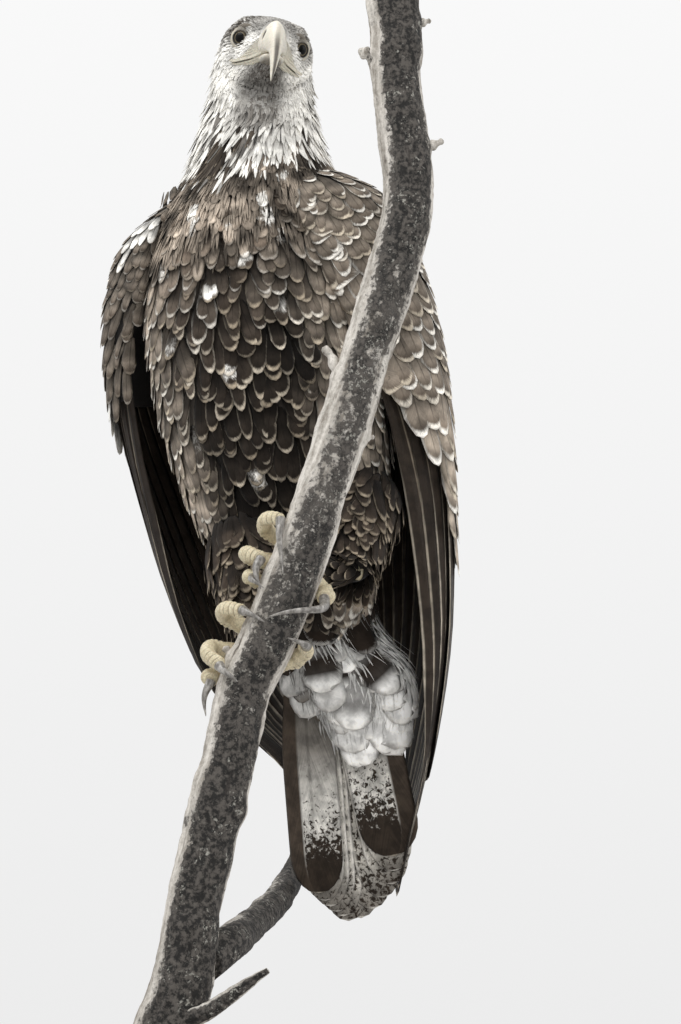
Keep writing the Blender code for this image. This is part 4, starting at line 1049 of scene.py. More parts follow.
def under_tail_colours(where, p, q, v, luck):
    """Undertail: soft white feathers, greyer towards the bird's right. Those nearest the belly are dark, and the
    next ones have a dark arrow in the middle."""
    root_p, root_q, one = p[:, :1], q[:, :1], reroll(luck, 5.17)
    near = 1 - ramp(root_p + 0.015 * np.sin(root_q - 0.6), 0.062, 0.100)
    belly = 1 - ramp(root_p + 0.012 * (lattice(where[:, :1], 0.016, 14) - 0.5), 0.030, 0.048)
    arrow = near * (one > 0.25) * ramp(v, 0.05, 0.40) * (1 - ramp(v, 0.66, 0.88))
    grey = ramp(root_q, 0.2, -0.7) * (0.55 + 0.45 * one) + 0.25 * near * one
    cloud = 0.97 * grey * (0.65 + 0.35 * lattice(where, 0.009, 15))
    white = shade(blend(cloud, (0.97, 0.96, 0.93), (0.11, 0.098, 0.084)), 0.80 + 0.20 * ramp(v, 0, 0.6))
    base = blend(np.clip(arrow + belly, 0, 1), white, DARK * 1.8)
    return coloured(base, 0.9 - 0.5 * belly - 0.3 * grey, blend(0.8 * grey, WHITE, MIDDLE), 0.30 * near)


def barb_colours(where, p, q, v, luck):
    """The undertail's loose barbs: its colours without the arrows."""
    return under_tail_colours(where, p, q, 0 * v, luck)


# -------------------- the coat

# Where each surface lies on the bake maps: the first and last of its two parameters.
HEAD_BOX, BODY_BOX = ((0, 9.6), (-math.pi, math.pi)), ((8, 16.5), (-math.pi, math.pi))
BACK_BOX, CLOAK_BOX = ((8, 16.5), (0, 2 * math.pi)), ((-0.25, 0.3), (2.2, 4.1))
WING_BOX, LEG_BOX = ((-0.1, 1.0), (-0.3, 1.1)), ((-0.3, 1.3), (-math.pi, math.pi))
MOUND_BOX, TAIL_BOX = ((0, 0.2), (-1.6, 1.6)), ((-0.01, 0.27), (-0.07, 0.07))
# How the loose barbs grow that are as thin as hairs.
BARBS = {"kind": "lance", "bury": 0.002, "thick": 0.00012, "cup": 0.1, "fine": True}

# Place along the head: the rows' spacing and a feather's length.
HEAD_FEATHERS = [
    (0.2, 0.0017, 0.0040), (1.5, 0.0022, 0.0056), (3.0, 0.0028, 0.0080), (4.6, 0.0040, 0.0125), (5.8, 0.0056, 0.0190),
]
# Place along the body: the spacing of rows and of feathers in them, and a feather's length and width.
BREAST_FEATHERS = [
    (8.3, 0.0095, 0.0085, 0.028, 0.0125), (9.4, 0.0125, 0.0110, 0.034, 0.0150), (10.6, 0.0155, 0.0130, 0.042, 0.0172),
    (12, 0.0165, 0.0128, 0.045, 0.0168), (14, 0.0150, 0.0125, 0.050, 0.0155), (16, 0.0105, 0.0100, 0.058, 0.0140),
]
# For each wing: how far down the coverts reach at places across it, then their plain line, paleness and splashes.
COVERTS = {
    "left": ((0.21, 0.25, 0.41, 0.51, 0.52, 0.40), (-0.22, 1.0, 0.0)),
    "right": ((0.22, 0.24, 0.26, 0.28, 0.32, 0.29), (0.22, 0.78, 0.75)),
}
# Tail feathers of each half, the outermost first, in millimetres: sideways place of root and tip, half width,
# length and layer.
TAIL_FEATHERS = (
    (-1, metres([
        (-18, -40.5, 27, 232, 10), (-14, -36, 22, 240, 7.8), (-10, -32, 21.5, 246, 5.6), (-6, -27, 21, 252, 3.8),
        (-3, -22, 22, 257, 2.2), (0, -18, 24, 262, 0.6),
    ])),
    (1, metres([
        (29, 37.5, 28.5, 208, 9.2), (22, 36, 22, 222, 7), (16, 31, 21.5, 234, 4.8), (10, 20, 22, 245, 3),
        (5, 8, 23, 254, 1.4), (2, -6, 24, 261, -0.4),
    ])),
)


def keep(mask, *arrays):
    return [a[mask] for a in arrays]


def dress_head():
    """Small flat feathers, from 4 mm by the bill to 17 mm at the nape, none over the eyes, the cere or the gape."""
    coat = Coat("feathers_head", FINE_PLUMES)
    gap, long = look_up(HEAD_FEATHERS, 1), look_up(HEAD_FEATHERS, 2)
    p, q = sow(body, 0.22, 5.30, -math.pi, math.pi, gap, gap, 0.40)
    where = body(p, q)
    forward, up = head_parts(where)[1:]
    away = eye_distance(where)
    length = long(p) * np.clip((away - 0.0095) / 0.012, 0.40, 1)
    stretch = np.linalg.norm(body(p + 0.1, q) - where, axis=-1) / 0.1
    tip_away = eye_distance(body(p + length / stretch, q))
    bill_root = (forward > 0.0300) & (up > -0.021)
    degrees = np.degrees(np.abs(q))
    low, _, high = (np.interp(p, *edge) for edge in BARE_EDGES)
    bare = (p < 3.05) & (degrees > low + 1.5) & (degrees < high - 4.0)
    open_eye = (away > EYE_RADIUS + 0.0012) & (tip_away > EYE_RADIUS - 0.0001)
    p, q, length = keep(open_eye & ~bill_root & ~bare, p, q, length)
    width = length * np.interp(p, [0, 3, 6], [0.50, 0.44, 0.36])
    coat.grow(body, p, q, length, width, head_colours, HEAD_BOX, stray=0.10, bury=0.0012, lift=0.0004, thick=0.00012,
              cup=0.22, tilt=0.12, fine=True)
    coat.finish_piece()


def dress_neck():
    """Two layers of pointed hackles: a close one, and a looser and longer one over it."""
    coat = Coat("feathers_neck", FINE_PLUMES)
    for first, last, row_gap, spacing, size, lift, stray in (
        (4.3, 7.9, 0.0064, 0.0044, 0.9, 0.0014, 0.11), (4.9, 7.7, 0.0088, 0.0064, 1.05, 0.0032, 0.16),
    ):
        gap = look_up([(4.5, 0.8 * row_gap), (6.5, 1.1 * row_gap), (8.0, 1.2 * row_gap), (9.3, 1.4 * row_gap)], 1)
        wide = look_up([(5.0, spacing), (6.5, 1.05 * spacing), (8.0, 1.15 * spacing), (9.3, 1.4 * spacing)], 1)
        p, q = sow(body, first, last, -math.pi, math.pi, gap, wide, 0.45)
        length = size * np.interp(p, [4.3, 5.0, 6.0, 7.5, 9.2], [0.012, 0.016, 0.023, 0.031, 0.032])
        length = length * (1 + 0.45 * ramp(p, 6.6, 7.4) * bell(np.degrees(q), -14, 26))
        width = np.interp(p, [4.3, 6.5, 9.2], [0.0042, 0.0078, 0.0110])
        coat.grow(body, p, q, length, width, hackle_colours, HEAD_BOX, kind="lance", stray=stray, bury=0.004, lift=lift,
                  thick=0.00020, cup=0.25, tilt=0.10, vary=0.22)
    coat.finish_piece()


def dress_breast():
    """Rows of feathers down the breast and belly. Lower ones are longer and looser."""
    gap, wide, length, width = (look_up(BREAST_FEATHERS, column) for column in (1, 2, 3, 4))
    for name, first, last, half_turn, stray in (
        ("feathers_breast", 7.8, 11.2, math.radians(112), 0.17),
        ("feathers_belly", 11.2, 14.6, math.radians(112), 0.17),
        ("feathers_vent", 14.6, 16.2, math.pi, 0.28),
    ):
        coat = Coat(name, PLUMES)
        p, q = sow(body, first, last, -half_turn, half_turn, gap, wide, 0.42)
        lift, cup = np.interp(p, [8, 9.8, 11.5], [0.0003, 0.0006, 0.0012]), np.interp(p, [9, 10.6], [0.05, 0.11])
        coat.grow(body, p, q, length(p), width(p), breast_colours, BODY_BOX, stray=stray, bury=0.007, lift=lift,
                  cup=cup, vary=0.22)
        coat.finish_piece()
    # Loose barbs over the upper rows soften their edges.
    coat = Coat("feathers_breast_loose", SOFT_PLUMES)
    p, q = sow(body, 7.9, 10.6, -1.40, 1.40, 0.0062, 0.0034, 0.5)
    p, q = keep(CHANCE.random(len(p)) > 1.1 * ramp(p, 8.6, 10.6), p, q)
    coat.grow(body, p, q, 0.021, 0.0038, soft_colours, BODY_BOX, stray=0.10, lift=0.0010, vary=0.3, **BARBS)
    coat.finish_piece()


def cloak(p, q, out=0.0):
    """The back between the folded wings: p is the height in the trunk's frame, downwards, and q the angle. Its
    radius is the two wings' own, blended from one to the other, and a little more over the spine."""
    p, q = matched(p, q)
    radii = []
    for table in WING_TABLES.values():
        wide, back, front = np.moveaxis(smooth(p, -table[:, 0], table[:, 1:4]), -1, 0)
        radii.append(oval(q, wide, front, back, WING_SQUARE))
    radius = radii[0] + (radii[1] - radii[0]) * ramp(np.degrees(q), 150, 210) + 0.0035 + out
    high = ramp(-p, 0.150, 0.205)
    radius = radius * (1 - 0.14 * high) - 0.012 * high
    return on_body(radius * np.sin(q), radius * np.cos(q), -p)


def dress_back():
    """Mantle feathers: first over the shoulders' root, then down the back between the wings."""
    coat = Coat("feathers_back", PLUMES)
    p, q = sow(body, 8.3, 10.6, math.radians(100), math.radians(260), 0.0125, 0.0135, 0.3)
    coat.grow(body, p, q, 0.036, 0.021, mantle_colours, BACK_BOX, stray=0.12, bury=0.007, lift=0.003)
    p, q = sow(cloak, -0.196, 0.16, math.radians(142), math.radians(218), 0.0165, 0.0165, 0.3)
    p, q = keep(p > -0.196 + 0.034 * ramp(np.abs(np.degrees(q) - 180), 14, 36), p, q)
    coat.grow(cloak, p, q, 0.046, 0.027, mantle_colours, CLOAK_BOX, stray=0.10, bury=0.008, lift=0.003)
    coat.finish_piece()


def dress_wing(side):
    """Coverts in staggered rows over the wing's upper half, round its front edge and up to the tertials. The right
    wing's are smaller by its front edge and on its shoulder."""
    surface, small = WING[side], side == "right"
    limits, looks = COVERTS[side]

    def colours(*at):
        return covert_colours(*at, *looks)

    coat = Coat(f"feathers_wing_{side}", PLUMES)
    # Lesser coverts, then median ones, then the long greater ones.
    for first, last, gap, wide, length, width in (
        (-0.02, 0.11, 0.0135, 0.0130, 0.033, 0.0178), (0.11, 0.27, 0.0190, 0.0165, 0.045, 0.0215),
        (0.27, 0.56, 0.0245, 0.0190, 0.060, 0.0240),
    ):
        p, q = sow(surface, first, last, -0.27, 1.02, gap, wide, 0.28)
        p, q = keep(p < np.interp(q, [-0.3, 0.0, 0.12, 0.22, 0.6, 1.02], limits), p, q)
        edge, top = ramp(q, 0.30, 0.05) * small, ramp(p, 0.030, 0.005) * small
        long = length * (1 - 0.30 * edge) * (1 - 0.45 * top)
        coat.grow(surface, p, q, long, width * (1 - 0.35 * edge), colours, WING_BOX, heading=0.02, bury=0.005,
                  stray=0.10 - 0.05 * edge, lift=0.0006 - 0.0003 * edge, cup=0.09, tilt=0.03, vary=0.2)
    coat.finish_piece()


def dress_flight(side):
    """Ten primaries that fan out to the wing's tip, and fourteen secondaries over them."""
    rows = []
    for t, tip in zip(np.linspace(0, 1, 10), (0.80, 0.84, 0.88, 0.92, 0.955, 0.98, 1.0, 0.99, 0.96, 0.90)):
        rows.append((0.22 - 0.03 * t, 0.50 - 0.47 * t, tip - 0.012, 0.62 - 0.52 * t, 0.0190 - 0.004 * t,
                     -0.008 - 0.006 * t, -0.0035 - 0.006 * t, -0.05, -0.45))
    for k, t in enumerate(np.linspace(0, 1, 14)):
        rows.append((0.22 + 0.20 * t, 0.22 + 0.74 * t, 0.84 - 0.14 * t + 0.012 * (k % 2), 0.26 + 0.70 * t, 0.0225,
                     -0.0065 + 0.003 * t, -0.0044 + 0.004 * t, -0.05, -0.25))
    coat = Coat(f"feathers_flight_{side}", QUILLS)
    coat.lay_long(WING[side], rows, flight_colours, WING_BOX)
    coat.finish_piece(f"wing_{side}_flight")


def dress_tail():
    """Each half's outermost feather, whose narrow web is plain and dark, and the mottled ones inside it."""
    coat = Coat("feathers_tail", TAIL_PLUMES)
    for sign, feathers in TAIL_FEATHERS:
        rows = [(-0.005, root, drop, tip, half, layer - 0.001, layer, 0.02 * sign, (0.60 if k else 0.46) * sign)
                for k, (root, tip, half, drop, layer) in enumerate(feathers)]
        coat.lay_long(tail, rows[:1], tail_colours, TAIL_BOX, 0.0006, 0.02, (sign, 0.44, BROWN))
        coat.lay_long(tail, rows[1:], inner_tail_colours, TAIL_BOX, 0.0006, 0.02)
    coat.finish_piece("tail_centre", "tail_left_inner", "tail_left_outer", "tail_right_inner", "tail_right_outer")


def dress_under_tail():
    """Big soft feathers in two layers, then loose barbs over them and round their ends."""
    coat = Coat("feathers_under_tail", SOFT_PLUMES)
    for low, wide, size, lift, stray in ((0.0170, 0.0210, 1.0, 0.002, 0.18), (0.0270, 0.0330, 1.12, 0.005, 0.24)):
        p, q = sow(UNDER_TAIL, 0.0, 0.118, -1.5, 1.5, low, wide, 0.42)
        p, q = keep((q > np.interp(p, [0.0, 0.05, 0.12], [-1.6, -1.1, -0.25])) & (q < 1.25), p, q)
        length = size * np.interp(p, [0.0, 0.06, 0.12], [0.040, 0.056, 0.066])
        coat.grow(UNDER_TAIL, p, q, length, length * 0.66, under_tail_colours, MOUND_BOX, stray=stray, lift=lift,
                  cup=0.10, tilt=0.08, thick=0.00015, vary=0.22)
    for spacing, length, width, lift in ((0.0060, 0.020, 0.0026, 0.0018), (0.0110, 0.026, 0.0010, 0.0050)):
        p, q = sow(UNDER_TAIL, 0.010, 0.150, -1.5, 1.5, spacing, spacing, 0.5)
        p, q = keep(q > np.interp(p, [0.0, 0.05, 0.12], [-1.6, -1.3, -0.5]), p, q)
        coat.grow(UNDER_TAIL, p, q, length, width, barb_colours, MOUND_BOX, stray=0.16, lift=lift, vary=0.35, **BARBS)
    coat.finish_piece("undertail_coverts")


def dress_over_tail():
    coat = Coat("feathers_over_tail", PLUMES)
    p, q = sow(OVER_TAIL, 0.0, 0.15, -1.5, 1.5, 0.014, 0.014, 0.3)
    coat.grow(OVER_TAIL, p, q, 0.046, 0.026, mantle_colours, MOUND_BOX, stray=0.12, bury=0.005, lift=0.003)
    coat.finish_piece("uppertail_coverts")


# -------------------- thighs and skin

KNEES = {"left": (0.052, 0.050, 0.735), "right": (-0.046, 0.055, 0.690)}
ANKLES = {"left": (0.046, -0.004, 0.664), "right": (-0.034, 0.004, 0.598)}


def across_of(way, other):
    """Two unit vectors across a way, of which the first is across the other vector too."""
    first = unit(np.cross(way, other))
    return first, unit(np.cross(way, first))


def thigh(side):
    """A thigh's surface: p runs from the knee to the ankle along a slightly bent line, and q round it. The radius
    is 20 mm and 22 mm more at the knee, which fade as (1 - p) to the power 0.8."""
    knee, ankle = np.array(KNEES[side]), np.array(ANKLES[side])
    knots = np.array([knee, (knee + ankle) / 2 + (0, 0, 0.004), ankle])
    first, second = across_of(ankle - knee, (1.0, 0.0, 0.0))

    def surface(p, q, out=0.0):
        p, q = matched(p, q)
        radius = 0.020 + 0.022 * np.clip(1 - p, 0, 1) ** 0.8 + out
        past = np.clip(p - 1, 0, 1) + np.clip(p, -1, 0)
        centre = smooth(np.clip(p, 0, 1) * 2, [0, 1, 2], knots) + past[..., None] * (ankle - knee)
        return centre + radius[..., None] * between(q, first, second)

    return surface


def shank(side):
    """A leg's bare part as a straight tube of 10.5 mm radius: p runs from the ankle to the foot's pad, q round it."""
    ankle = np.array(ANKLES[side])
    way = foot_pad(side) - ankle
    first, second = across_of(way, UPWARDS)

    def surface(p, q, out=0.0):
        p, q, radius = matched(p, q, 0.0105 + out)
        return ankle + p[..., None] * way + radius[..., None] * between(q, first, second)

    return surface


def dress_thighs():
    """Loose trousers, and a sleeve of longer feathers that hides most of the shank."""
    coat = Coat("feathers_thighs", PLUMES)
    for side, _ in SIDES:
        upper, lower = thigh(side), shank(side)
        p, q = sow(upper, -0.25, 0.98, -math.pi, math.pi, 0.0085, 0.0095, 0.42)
        length, width = np.interp(p, [0, 0.7, 1], [0.056, 0.040, 0.022]), np.interp(p, [0, 1], [0.015, 0.008])
        coat.grow(upper, p, q, length, width, trouser_colours, LEG_BOX, stray=0.26, bury=0.005, lift=0.005, tilt=0.12,
                  vary=0.28)
        p, q = sow(lower, -0.10, 0.60, -math.pi, math.pi, 0.0070, 0.0075, 0.42)
        coat.grow(lower, p, q, 0.040 - 0.022 * np.clip(p, 0, 1), 0.0095, trouser_colours, LEG_BOX, stray=0.30,
                  bury=0.003, lift=0.007, tilt=0.15, vary=0.28)
    coat.finish_piece()


def skin_inset(place):
    """How deep the skin lies: thin on the head, thick under the body's coat."""
    return -np.interp(place, [0, 3, 5.5, 8, 10, 16], [0.0010, 0.0016, 0.0030, 0.0060, 0.0075, 0.0070])


def root_tone(colours, where, p, q, v):
    """The base colour that an average feather has at v, if it grows at each point."""
    p_column, q_column, one = p.reshape(-1, 1), q.reshape(-1, 1), np.ones((1, 1))
    return colours(where.reshape(-1, 1, 3), p_column, q_column, v * one, 0.5 * one)[0].reshape(*p.shape, 3)


def patch_of_map(across, along, left, wide, low, high):
    """A rectangle of the bake map: across and along run from 0 to 1 in it."""
    return np.stack([left + wide * across, low + high * along], -1).reshape(-1, 2)


def make_skin():
    """One skin under the whole coat: the body's loft, with both wing arms, both thighs and the tail's root."""
    places = np.concatenate([np.linspace(0.0, 5.6, 90), np.linspace(5.7, LAST, 90)])
    pp, qq = grid(places, circle(120, -math.pi))
    rings = body(pp, qq, skin_inset(pp))
    for centre in EYE_CENTRES:
        near = np.linalg.norm(rings - centre, axis=-1, keepdims=True)
        rings = rings + unit(EYE_MIDDLE - rings) * 0.0045 * (1 - ramp(near, 0.0105, 0.0145))
    tone = np.where((pp < 8.8)[..., None], 0.8 * root_tone(hackle_colours, rings, pp, qq, 0.3),
                    root_tone(breast_colours, rings, pp, qq, 0.3))
    tone = np.where((pp < 5.7)[..., None], root_tone(head_colours, rings, pp, qq, 0.6), tone)
    parts, tones = [shell(rings)], [with_ends(tone)]
    maps = [patch_of_map((qq + math.pi) / (2 * math.pi), pp / LAST, 0.02, 0.46, 0.02, 0.96)]
    maps.append([[0.25, 0.02], [0.25, 0.98]])
    for number, (side, _) in enumerate(SIDES):
        left = 0.52 + 0.24 * number
        down, across = grid(np.linspace(0.0, 0.27, 40), np.linspace(0.0, 1.0, 36))
        rim = np.clip(1 - np.abs(2 * across - 1) ** 4, 0.14, 1)
        rim = rim * np.clip(down / 0.06 + 0.12, 0, 1) * np.clip((0.28 - down) / 0.14, 0.10, 1)
        depth = -0.0062 - 0.006 * ramp(down, 0.16, 0.27)
        parts.append(slab(*(WING[side](down, across, deep) for deep in (depth, depth - 0.040 * rim))))
        tones.append(np.tile(DARK * 1.2, (2 * down.size, 1)))
        maps += [patch_of_map(across, down / 0.27, left, 0.22, low, 0.4) for low in (0.02, 0.46)]
        p, q = grid(np.linspace(-0.05, 1.06, 24), circle(32, -math.pi))
        taper = np.clip((1.06 - p) / 0.12, 0, 1) ** 0.5
        parts.append(shell(thigh(side)(p, q, -0.0045 - (1 - taper) * 0.011)))
        tones.append(np.tile(DARK * 1.3, (p.size + 2, 1)))
        patch = patch_of_map((q + math.pi) / (2 * math.pi), (p + 0.05) / 1.11, left, 0.22, 0.90, 0.08)
        maps += [patch, patch[[0, -1]]]
    # The tail's root: an oval that tapers from the body's end into the fan.
    drop, turn = grid(np.linspace(-0.03, 0.085, 24), circle(48, -math.pi))
    wide = np.interp(drop, [-0.03, 0.03, 0.085], [0.048, 0.050, 0.034])
    deep = np.interp(drop, [-0.03, 0.03, 0.085], [0.024, 0.016, 0.004])
    middle = np.interp(drop, [-0.03, 0.085], [0.002, 0.012])
    parts.append(shell(tail(drop, middle + wide * np.sin(turn), 0.004 + deep * np.cos(turn))))
    tones.append(np.tile(MIDDLE, (drop.size + 2, 1)))
    patch = patch_of_map((turn + math.pi) / (2 * math.pi), drop, 0.52, 0.46, 0.45, 0.01)
    maps += [patch, patch[[0, -1]]]
    nodes = ["head", "neck", "trunk", "thigh_left", "thigh_right"]
    nodes += [f"wing_{side}_{part}" for side, _ in SIDES for part in ("shoulder", "coverts")]
    mesh_piece("skin", join(parts), DOWN, [("base", opaque(np.concatenate(tones)))], np.concatenate(maps), nodes)


# -------------------- bill, face and eyes

# Profiles in the head's frame, in millimetres: the upper line's forward and up, the lower line's forward and up,
# and the half width there. The upper bill's lower line is its cutting edge.
UPPER_BILL = metres([
    (34, 9.6, 34, -18, 12), (43, 11, 43, -18.6, 11.3), (51.5, 10.8, 51, -19, 10.1), (59, 8.5, 56.2, -20, 8.7),
    (65.2, 1.6, 60, -22.4, 7.1), (69.8, -8, 63, -26.5, 5.4), (72.4, -20, 65.5, -32.5, 4), (73.2, -32, 67.8, -39, 2.7),
    (72.4, -43, 70, -45.2, 1.3), (71.6, -48, 71.2, -48.4, 0.4),
])
LOWER_BILL = metres([
    (30, -18.2, 30, -26.6, 11.2), (42, -18.8, 42, -26.8, 10.6), (50.5, -19.3, 50, -26.2, 8.6),
    (55.5, -20.1, 54.8, -24, 5),
])
NOSTRIL = (0.0492, -0.0034)  # forward and up


def bill_half(table, rings, columns, taper):
    """Sideways, forward and up of one half: rounded sections between two profile lines. taper makes them
    narrower at the upper line and wider at the lower one."""
    rows, turn = smooth_rows(table, rings)[:, None], circle(columns)[None]
    boxy = 1 - 0.42 * (np.cos(turn) < 0) * ramp(rows[..., 4], 0.0050, 0.0090)
    height, side = (np.sign(part) * np.abs(part) ** boxy for part in (np.cos(turn), np.sin(turn)))
    forward, up = ((high + low) / 2 + height * (high - low) / 2
                   for high, low in ((rows[..., 0], rows[..., 2]), (rows[..., 1], rows[..., 3])))
    return side * (1 - taper * height) * rows[..., 4], forward, up


def horn_piece(name, wide, forward, up, tone):
    mesh_piece(f"bill_{name}_horn", shell(on_head(wide, forward, up)), HORN, [("mark", opaque(with_ends(tone)))],
               stands_for=[f"bill_{name}"])


def make_bill():
    """The bill's two halves. The cere is a low swelling at its root, with a slanted nostril sunk into either side,
    whose near-black colour is painted shade, and the tip is a long hook with a painted dark reflection down its ridge."""
    wide, forward, up = bill_half(UPPER_BILL, 140, 112, 0.20)
    wide = wide * (1 + 0.045 * (1 - ramp(forward + 0.10 * np.abs(up), 0.0520, 0.0545)))
    ahead, above = forward - NOSTRIL[0], up - NOSTRIL[1]
    along, across = 0.60 * ahead + 0.80 * above, 0.80 * ahead - 0.60 * above
    nostril = bell(along, 0, 0.0042) * bell(across, 0, 0.0024) * (np.abs(wide) > 0.004)
    wide = wide * (1 - 0.34 * nostril)
    # A painted dark reflection down the ridge: faint on the cere, dark on the hook, and finer towards the tip.
    ridge = np.abs(wide - 0.0008) / np.interp(up, [-0.045, -0.020, 0.010], [0.0012, 0.0026, 0.0038])
    painted_ridge_reflection = (1 - ramp(ridge, 0.35, 1.25)) * (0.10 + 0.80 * ramp(up, 0.006, -0.018))
    tone = blend(painted_ridge_reflection, (0.76, 0.71, 0.60), (0.060, 0.050, 0.040))
    tone = blend(0.30 * ramp(up, 0.002, -0.016) * ramp(ridge, 1.2, 2.6), tone, (0.33, 0.295, 0.235))
    # Painted shade: the nostril's shallow dent is painted near black.
    tone = blend(0.98 * ramp(nostril, 0.12, 0.38), tone, (0.008, 0.006, 0.005))
    lip = bell(along, 0, 0.0070) * bell(across, -0.0040, 0.0030)
    tone = blend(0.35 * ramp(lip, 0.2, 0.8), tone, (0.30, 0.27, 0.215))
    horn_piece("upper", wide - 0.0020 * ramp(up, -0.030, 0.008), forward, up, tone)
    wide, forward, up = bill_half(LOWER_BILL, 40, 64, -0.18)
    # Painted shade: the lower bill darkens towards its underside.
    tone = blend(ramp(up, -0.0215, -0.0262), (0.72, 0.67, 0.56), (0.20, 0.175, 0.14))
    horn_piece("lower", wide, forward, up, tone)


def make_face():
    """Bare skin of the lores and the mouth's corners: on either side a thin sheet laid over the head, from the
    bill back to below the eye. The mouth's line is a groove in it between two lips. Its borders sink under the
    feathers."""
    u, v = grid(np.linspace(0, 1, 150), np.linspace(0, 1, 130))
    place = 3.25 * u
    low, line, high = (np.interp(place, *edge) for edge in BARE_EDGES)
    angle = low + (high - low) * v
    off = (angle - line) * np.interp(place, [0, 3.2], [0.00029, 0.00062])
    fade = ramp(place, 3.15, 2.6)
    groove = bell(off, 0, 0.00050) * fade * (0.25 + 0.75 * ramp(place, 1.0, 1.7))
    lips = fade * (0.0013 * bell(off, 0.0014, 0.0010) + 0.0010 * bell(off, -0.0014, 0.0010))
    folds = 0.00025 * np.cos(off / 0.0011 * np.pi) * ramp(np.abs(off), 0.0020, 0.0035) * ramp(place, 0.6, 1.6)
    border = np.min([u / 0.02, (1 - u) / 0.15, v / 0.10, (1 - v) / 0.16], axis=0)
    out = -0.0010 + 0.0016 * ramp(border, 0, 1) + lips - 0.0016 * groove + folds
    for side, sign in SIDES:
        outside, inside = (body(place, np.radians(angle) * sign, out - deep) for deep in (0.0, 0.0016))
        cloud = lattice(outside, 0.0035, 21) - 0.5
        tone = blend(0.55 * ramp(off, 0.004, 0.012) + 0.25 * cloud, (0.64, 0.60, 0.49), (0.38, 0.355, 0.305))
        # Painted shade: the mouth's groove is painted nearly black.
        tone = blend(0.93 * groove, tone, (0.020, 0.016, 0.013)).reshape(-1, 3)
        mark = opaque(np.tile(tone, (2, 1)))
        mesh_piece(f"face_skin_{side}", slab(outside, inside), LID_SKIN, [("mark", mark)])


# A lid's closed profile: the angle past the opening's edge and the height over the ball.
LID = [
    (0.00, -0.0008), (-0.02, 0.0000), (-0.01, 0.0006), (0.04, 0.0011), (0.12, 0.0015), (0.22, 0.0018), (0.36, 0.0018),
    (0.50, 0.0012), (0.62, -0.0014), (0.30, -0.0026),
]
# The left brow's ridge in the head's frame, in millimetres.
BROW = metres([
    (15, 20, 7), (20.5, 11, 10), (26.2, 2.5, 11.2), (30.5, -7, 10.6), (33, -16.5, 8.2),
])
GAZE_TURN = math.radians(34.0)  # how far each eye looks out to its side


def make_eye(side, sign, centre):
    """An eye is a ball with a low clear bulge ahead of its iris. Its lids are a rolled ring round the opening
    that lies on the ball, and a bare bony brow overhangs it."""
    axis = unit(math.cos(GAZE_TURN) * HEAD[1] + sign * math.sin(GAZE_TURN) * HEAD[0] - 0.06 * HEAD[2])
    high = unit(HEAD[2] - HEAD[2].dot(axis) * axis)
    wide, phi = np.cross(high, axis), circle(96)[None]
    around = between(phi, high, wide)
    theta = np.linspace(0.02, math.pi - 0.02, 90)[:, None]
    ball = shell(centre + (EYE_RADIUS + 0.0009 * bell(theta, 0, 0.55))[..., None] * between(theta, axis, around))
    offset = ball[0] - centre
    ahead = offset @ axis
    gaze = np.linalg.norm(offset - ahead[:, None] * axis, axis=1) * 1000 + np.where(ahead < 0, 20, 0)
    turn = np.arctan2(offset @ wide, offset @ high)
    rays = np.stack([np.cos(turn) * 9, np.sin(turn) * 9, gaze * 0.35 + 7 * sign], -1)
    mesh_piece(f"eyeball_{side}", ball, EYE, [("gaze", gaze), ("rays", rays)], stands_for=[f"eye_{side}"])

    # The lids' opening is flatter above than below.
    opening = 0.0066 - 0.0007 * np.clip(np.cos(phi), 0, 1) ** 1.5 - 0.0002 * np.clip(-np.cos(phi), 0, 1)
    fine = smooth(np.linspace(0, len(LID), 41)[:-1], np.arange(len(LID) + 1), LID + LID[:1])
    past, height = fine[:, :1], fine[:, 1:]
    crease = 0.00022 * np.cos(14 * phi + 3 * np.sin(2 * phi)) * ramp(past, 0.10, 0.3)
    radius = EYE_RADIUS + 0.0007 + height + crease
    ring = centre + radius[..., None] * between(np.arcsin(opening / EYE_RADIUS) + past, axis, around)
    rows, columns = ring.shape[:2]
    points = ring.reshape(-1, 3)
    faces = outward(points, grid_faces(rows + 1, columns, True) % (rows * columns), NO_TRIANGLES)
    tone = blend(1 - ramp(past, 0.015, 0.055), (0.50, 0.46, 0.375), (0.022, 0.019, 0.016))
    tone = blend(0.75 * ramp(past, 0.30, 0.44), tone, (0.16, 0.135, 0.105))
    # Painted shade: they are darker towards the bill and at the top under the brow, and pale outwards and below.
    outer = around @ (0.80 * sign * HEAD[0] - 0.60 * HEAD[2])
    tone = blend(0.80 * ramp(outer, 0.35, -0.65), tone, (0.085, 0.072, 0.058))
    mesh_piece(f"lids_{side}", (points, *faces), LID_SKIN, [("mark", opaque(tone.reshape(-1, 3)))])

    # The brow: a bony ridge from the lores back over the eye.
    path = smooth_rows(BROW, 48) * (sign, 1, 1)
    bulk = np.sin(np.clip(np.linspace(0, 1.04, 48), 0, 1) * np.pi) ** 0.6 + 0.02
    brow = shell(rings_along(on_head(*path.T), 0.0025 * bulk, 20, HEAD[2]))
    mesh_piece(f"brow_{side}", brow, DOWN, [("base", np.tile((0.17, 0.145, 0.115, 1.0), (len(brow[0]), 1)))])


# -------------------- the branch's line and the feet

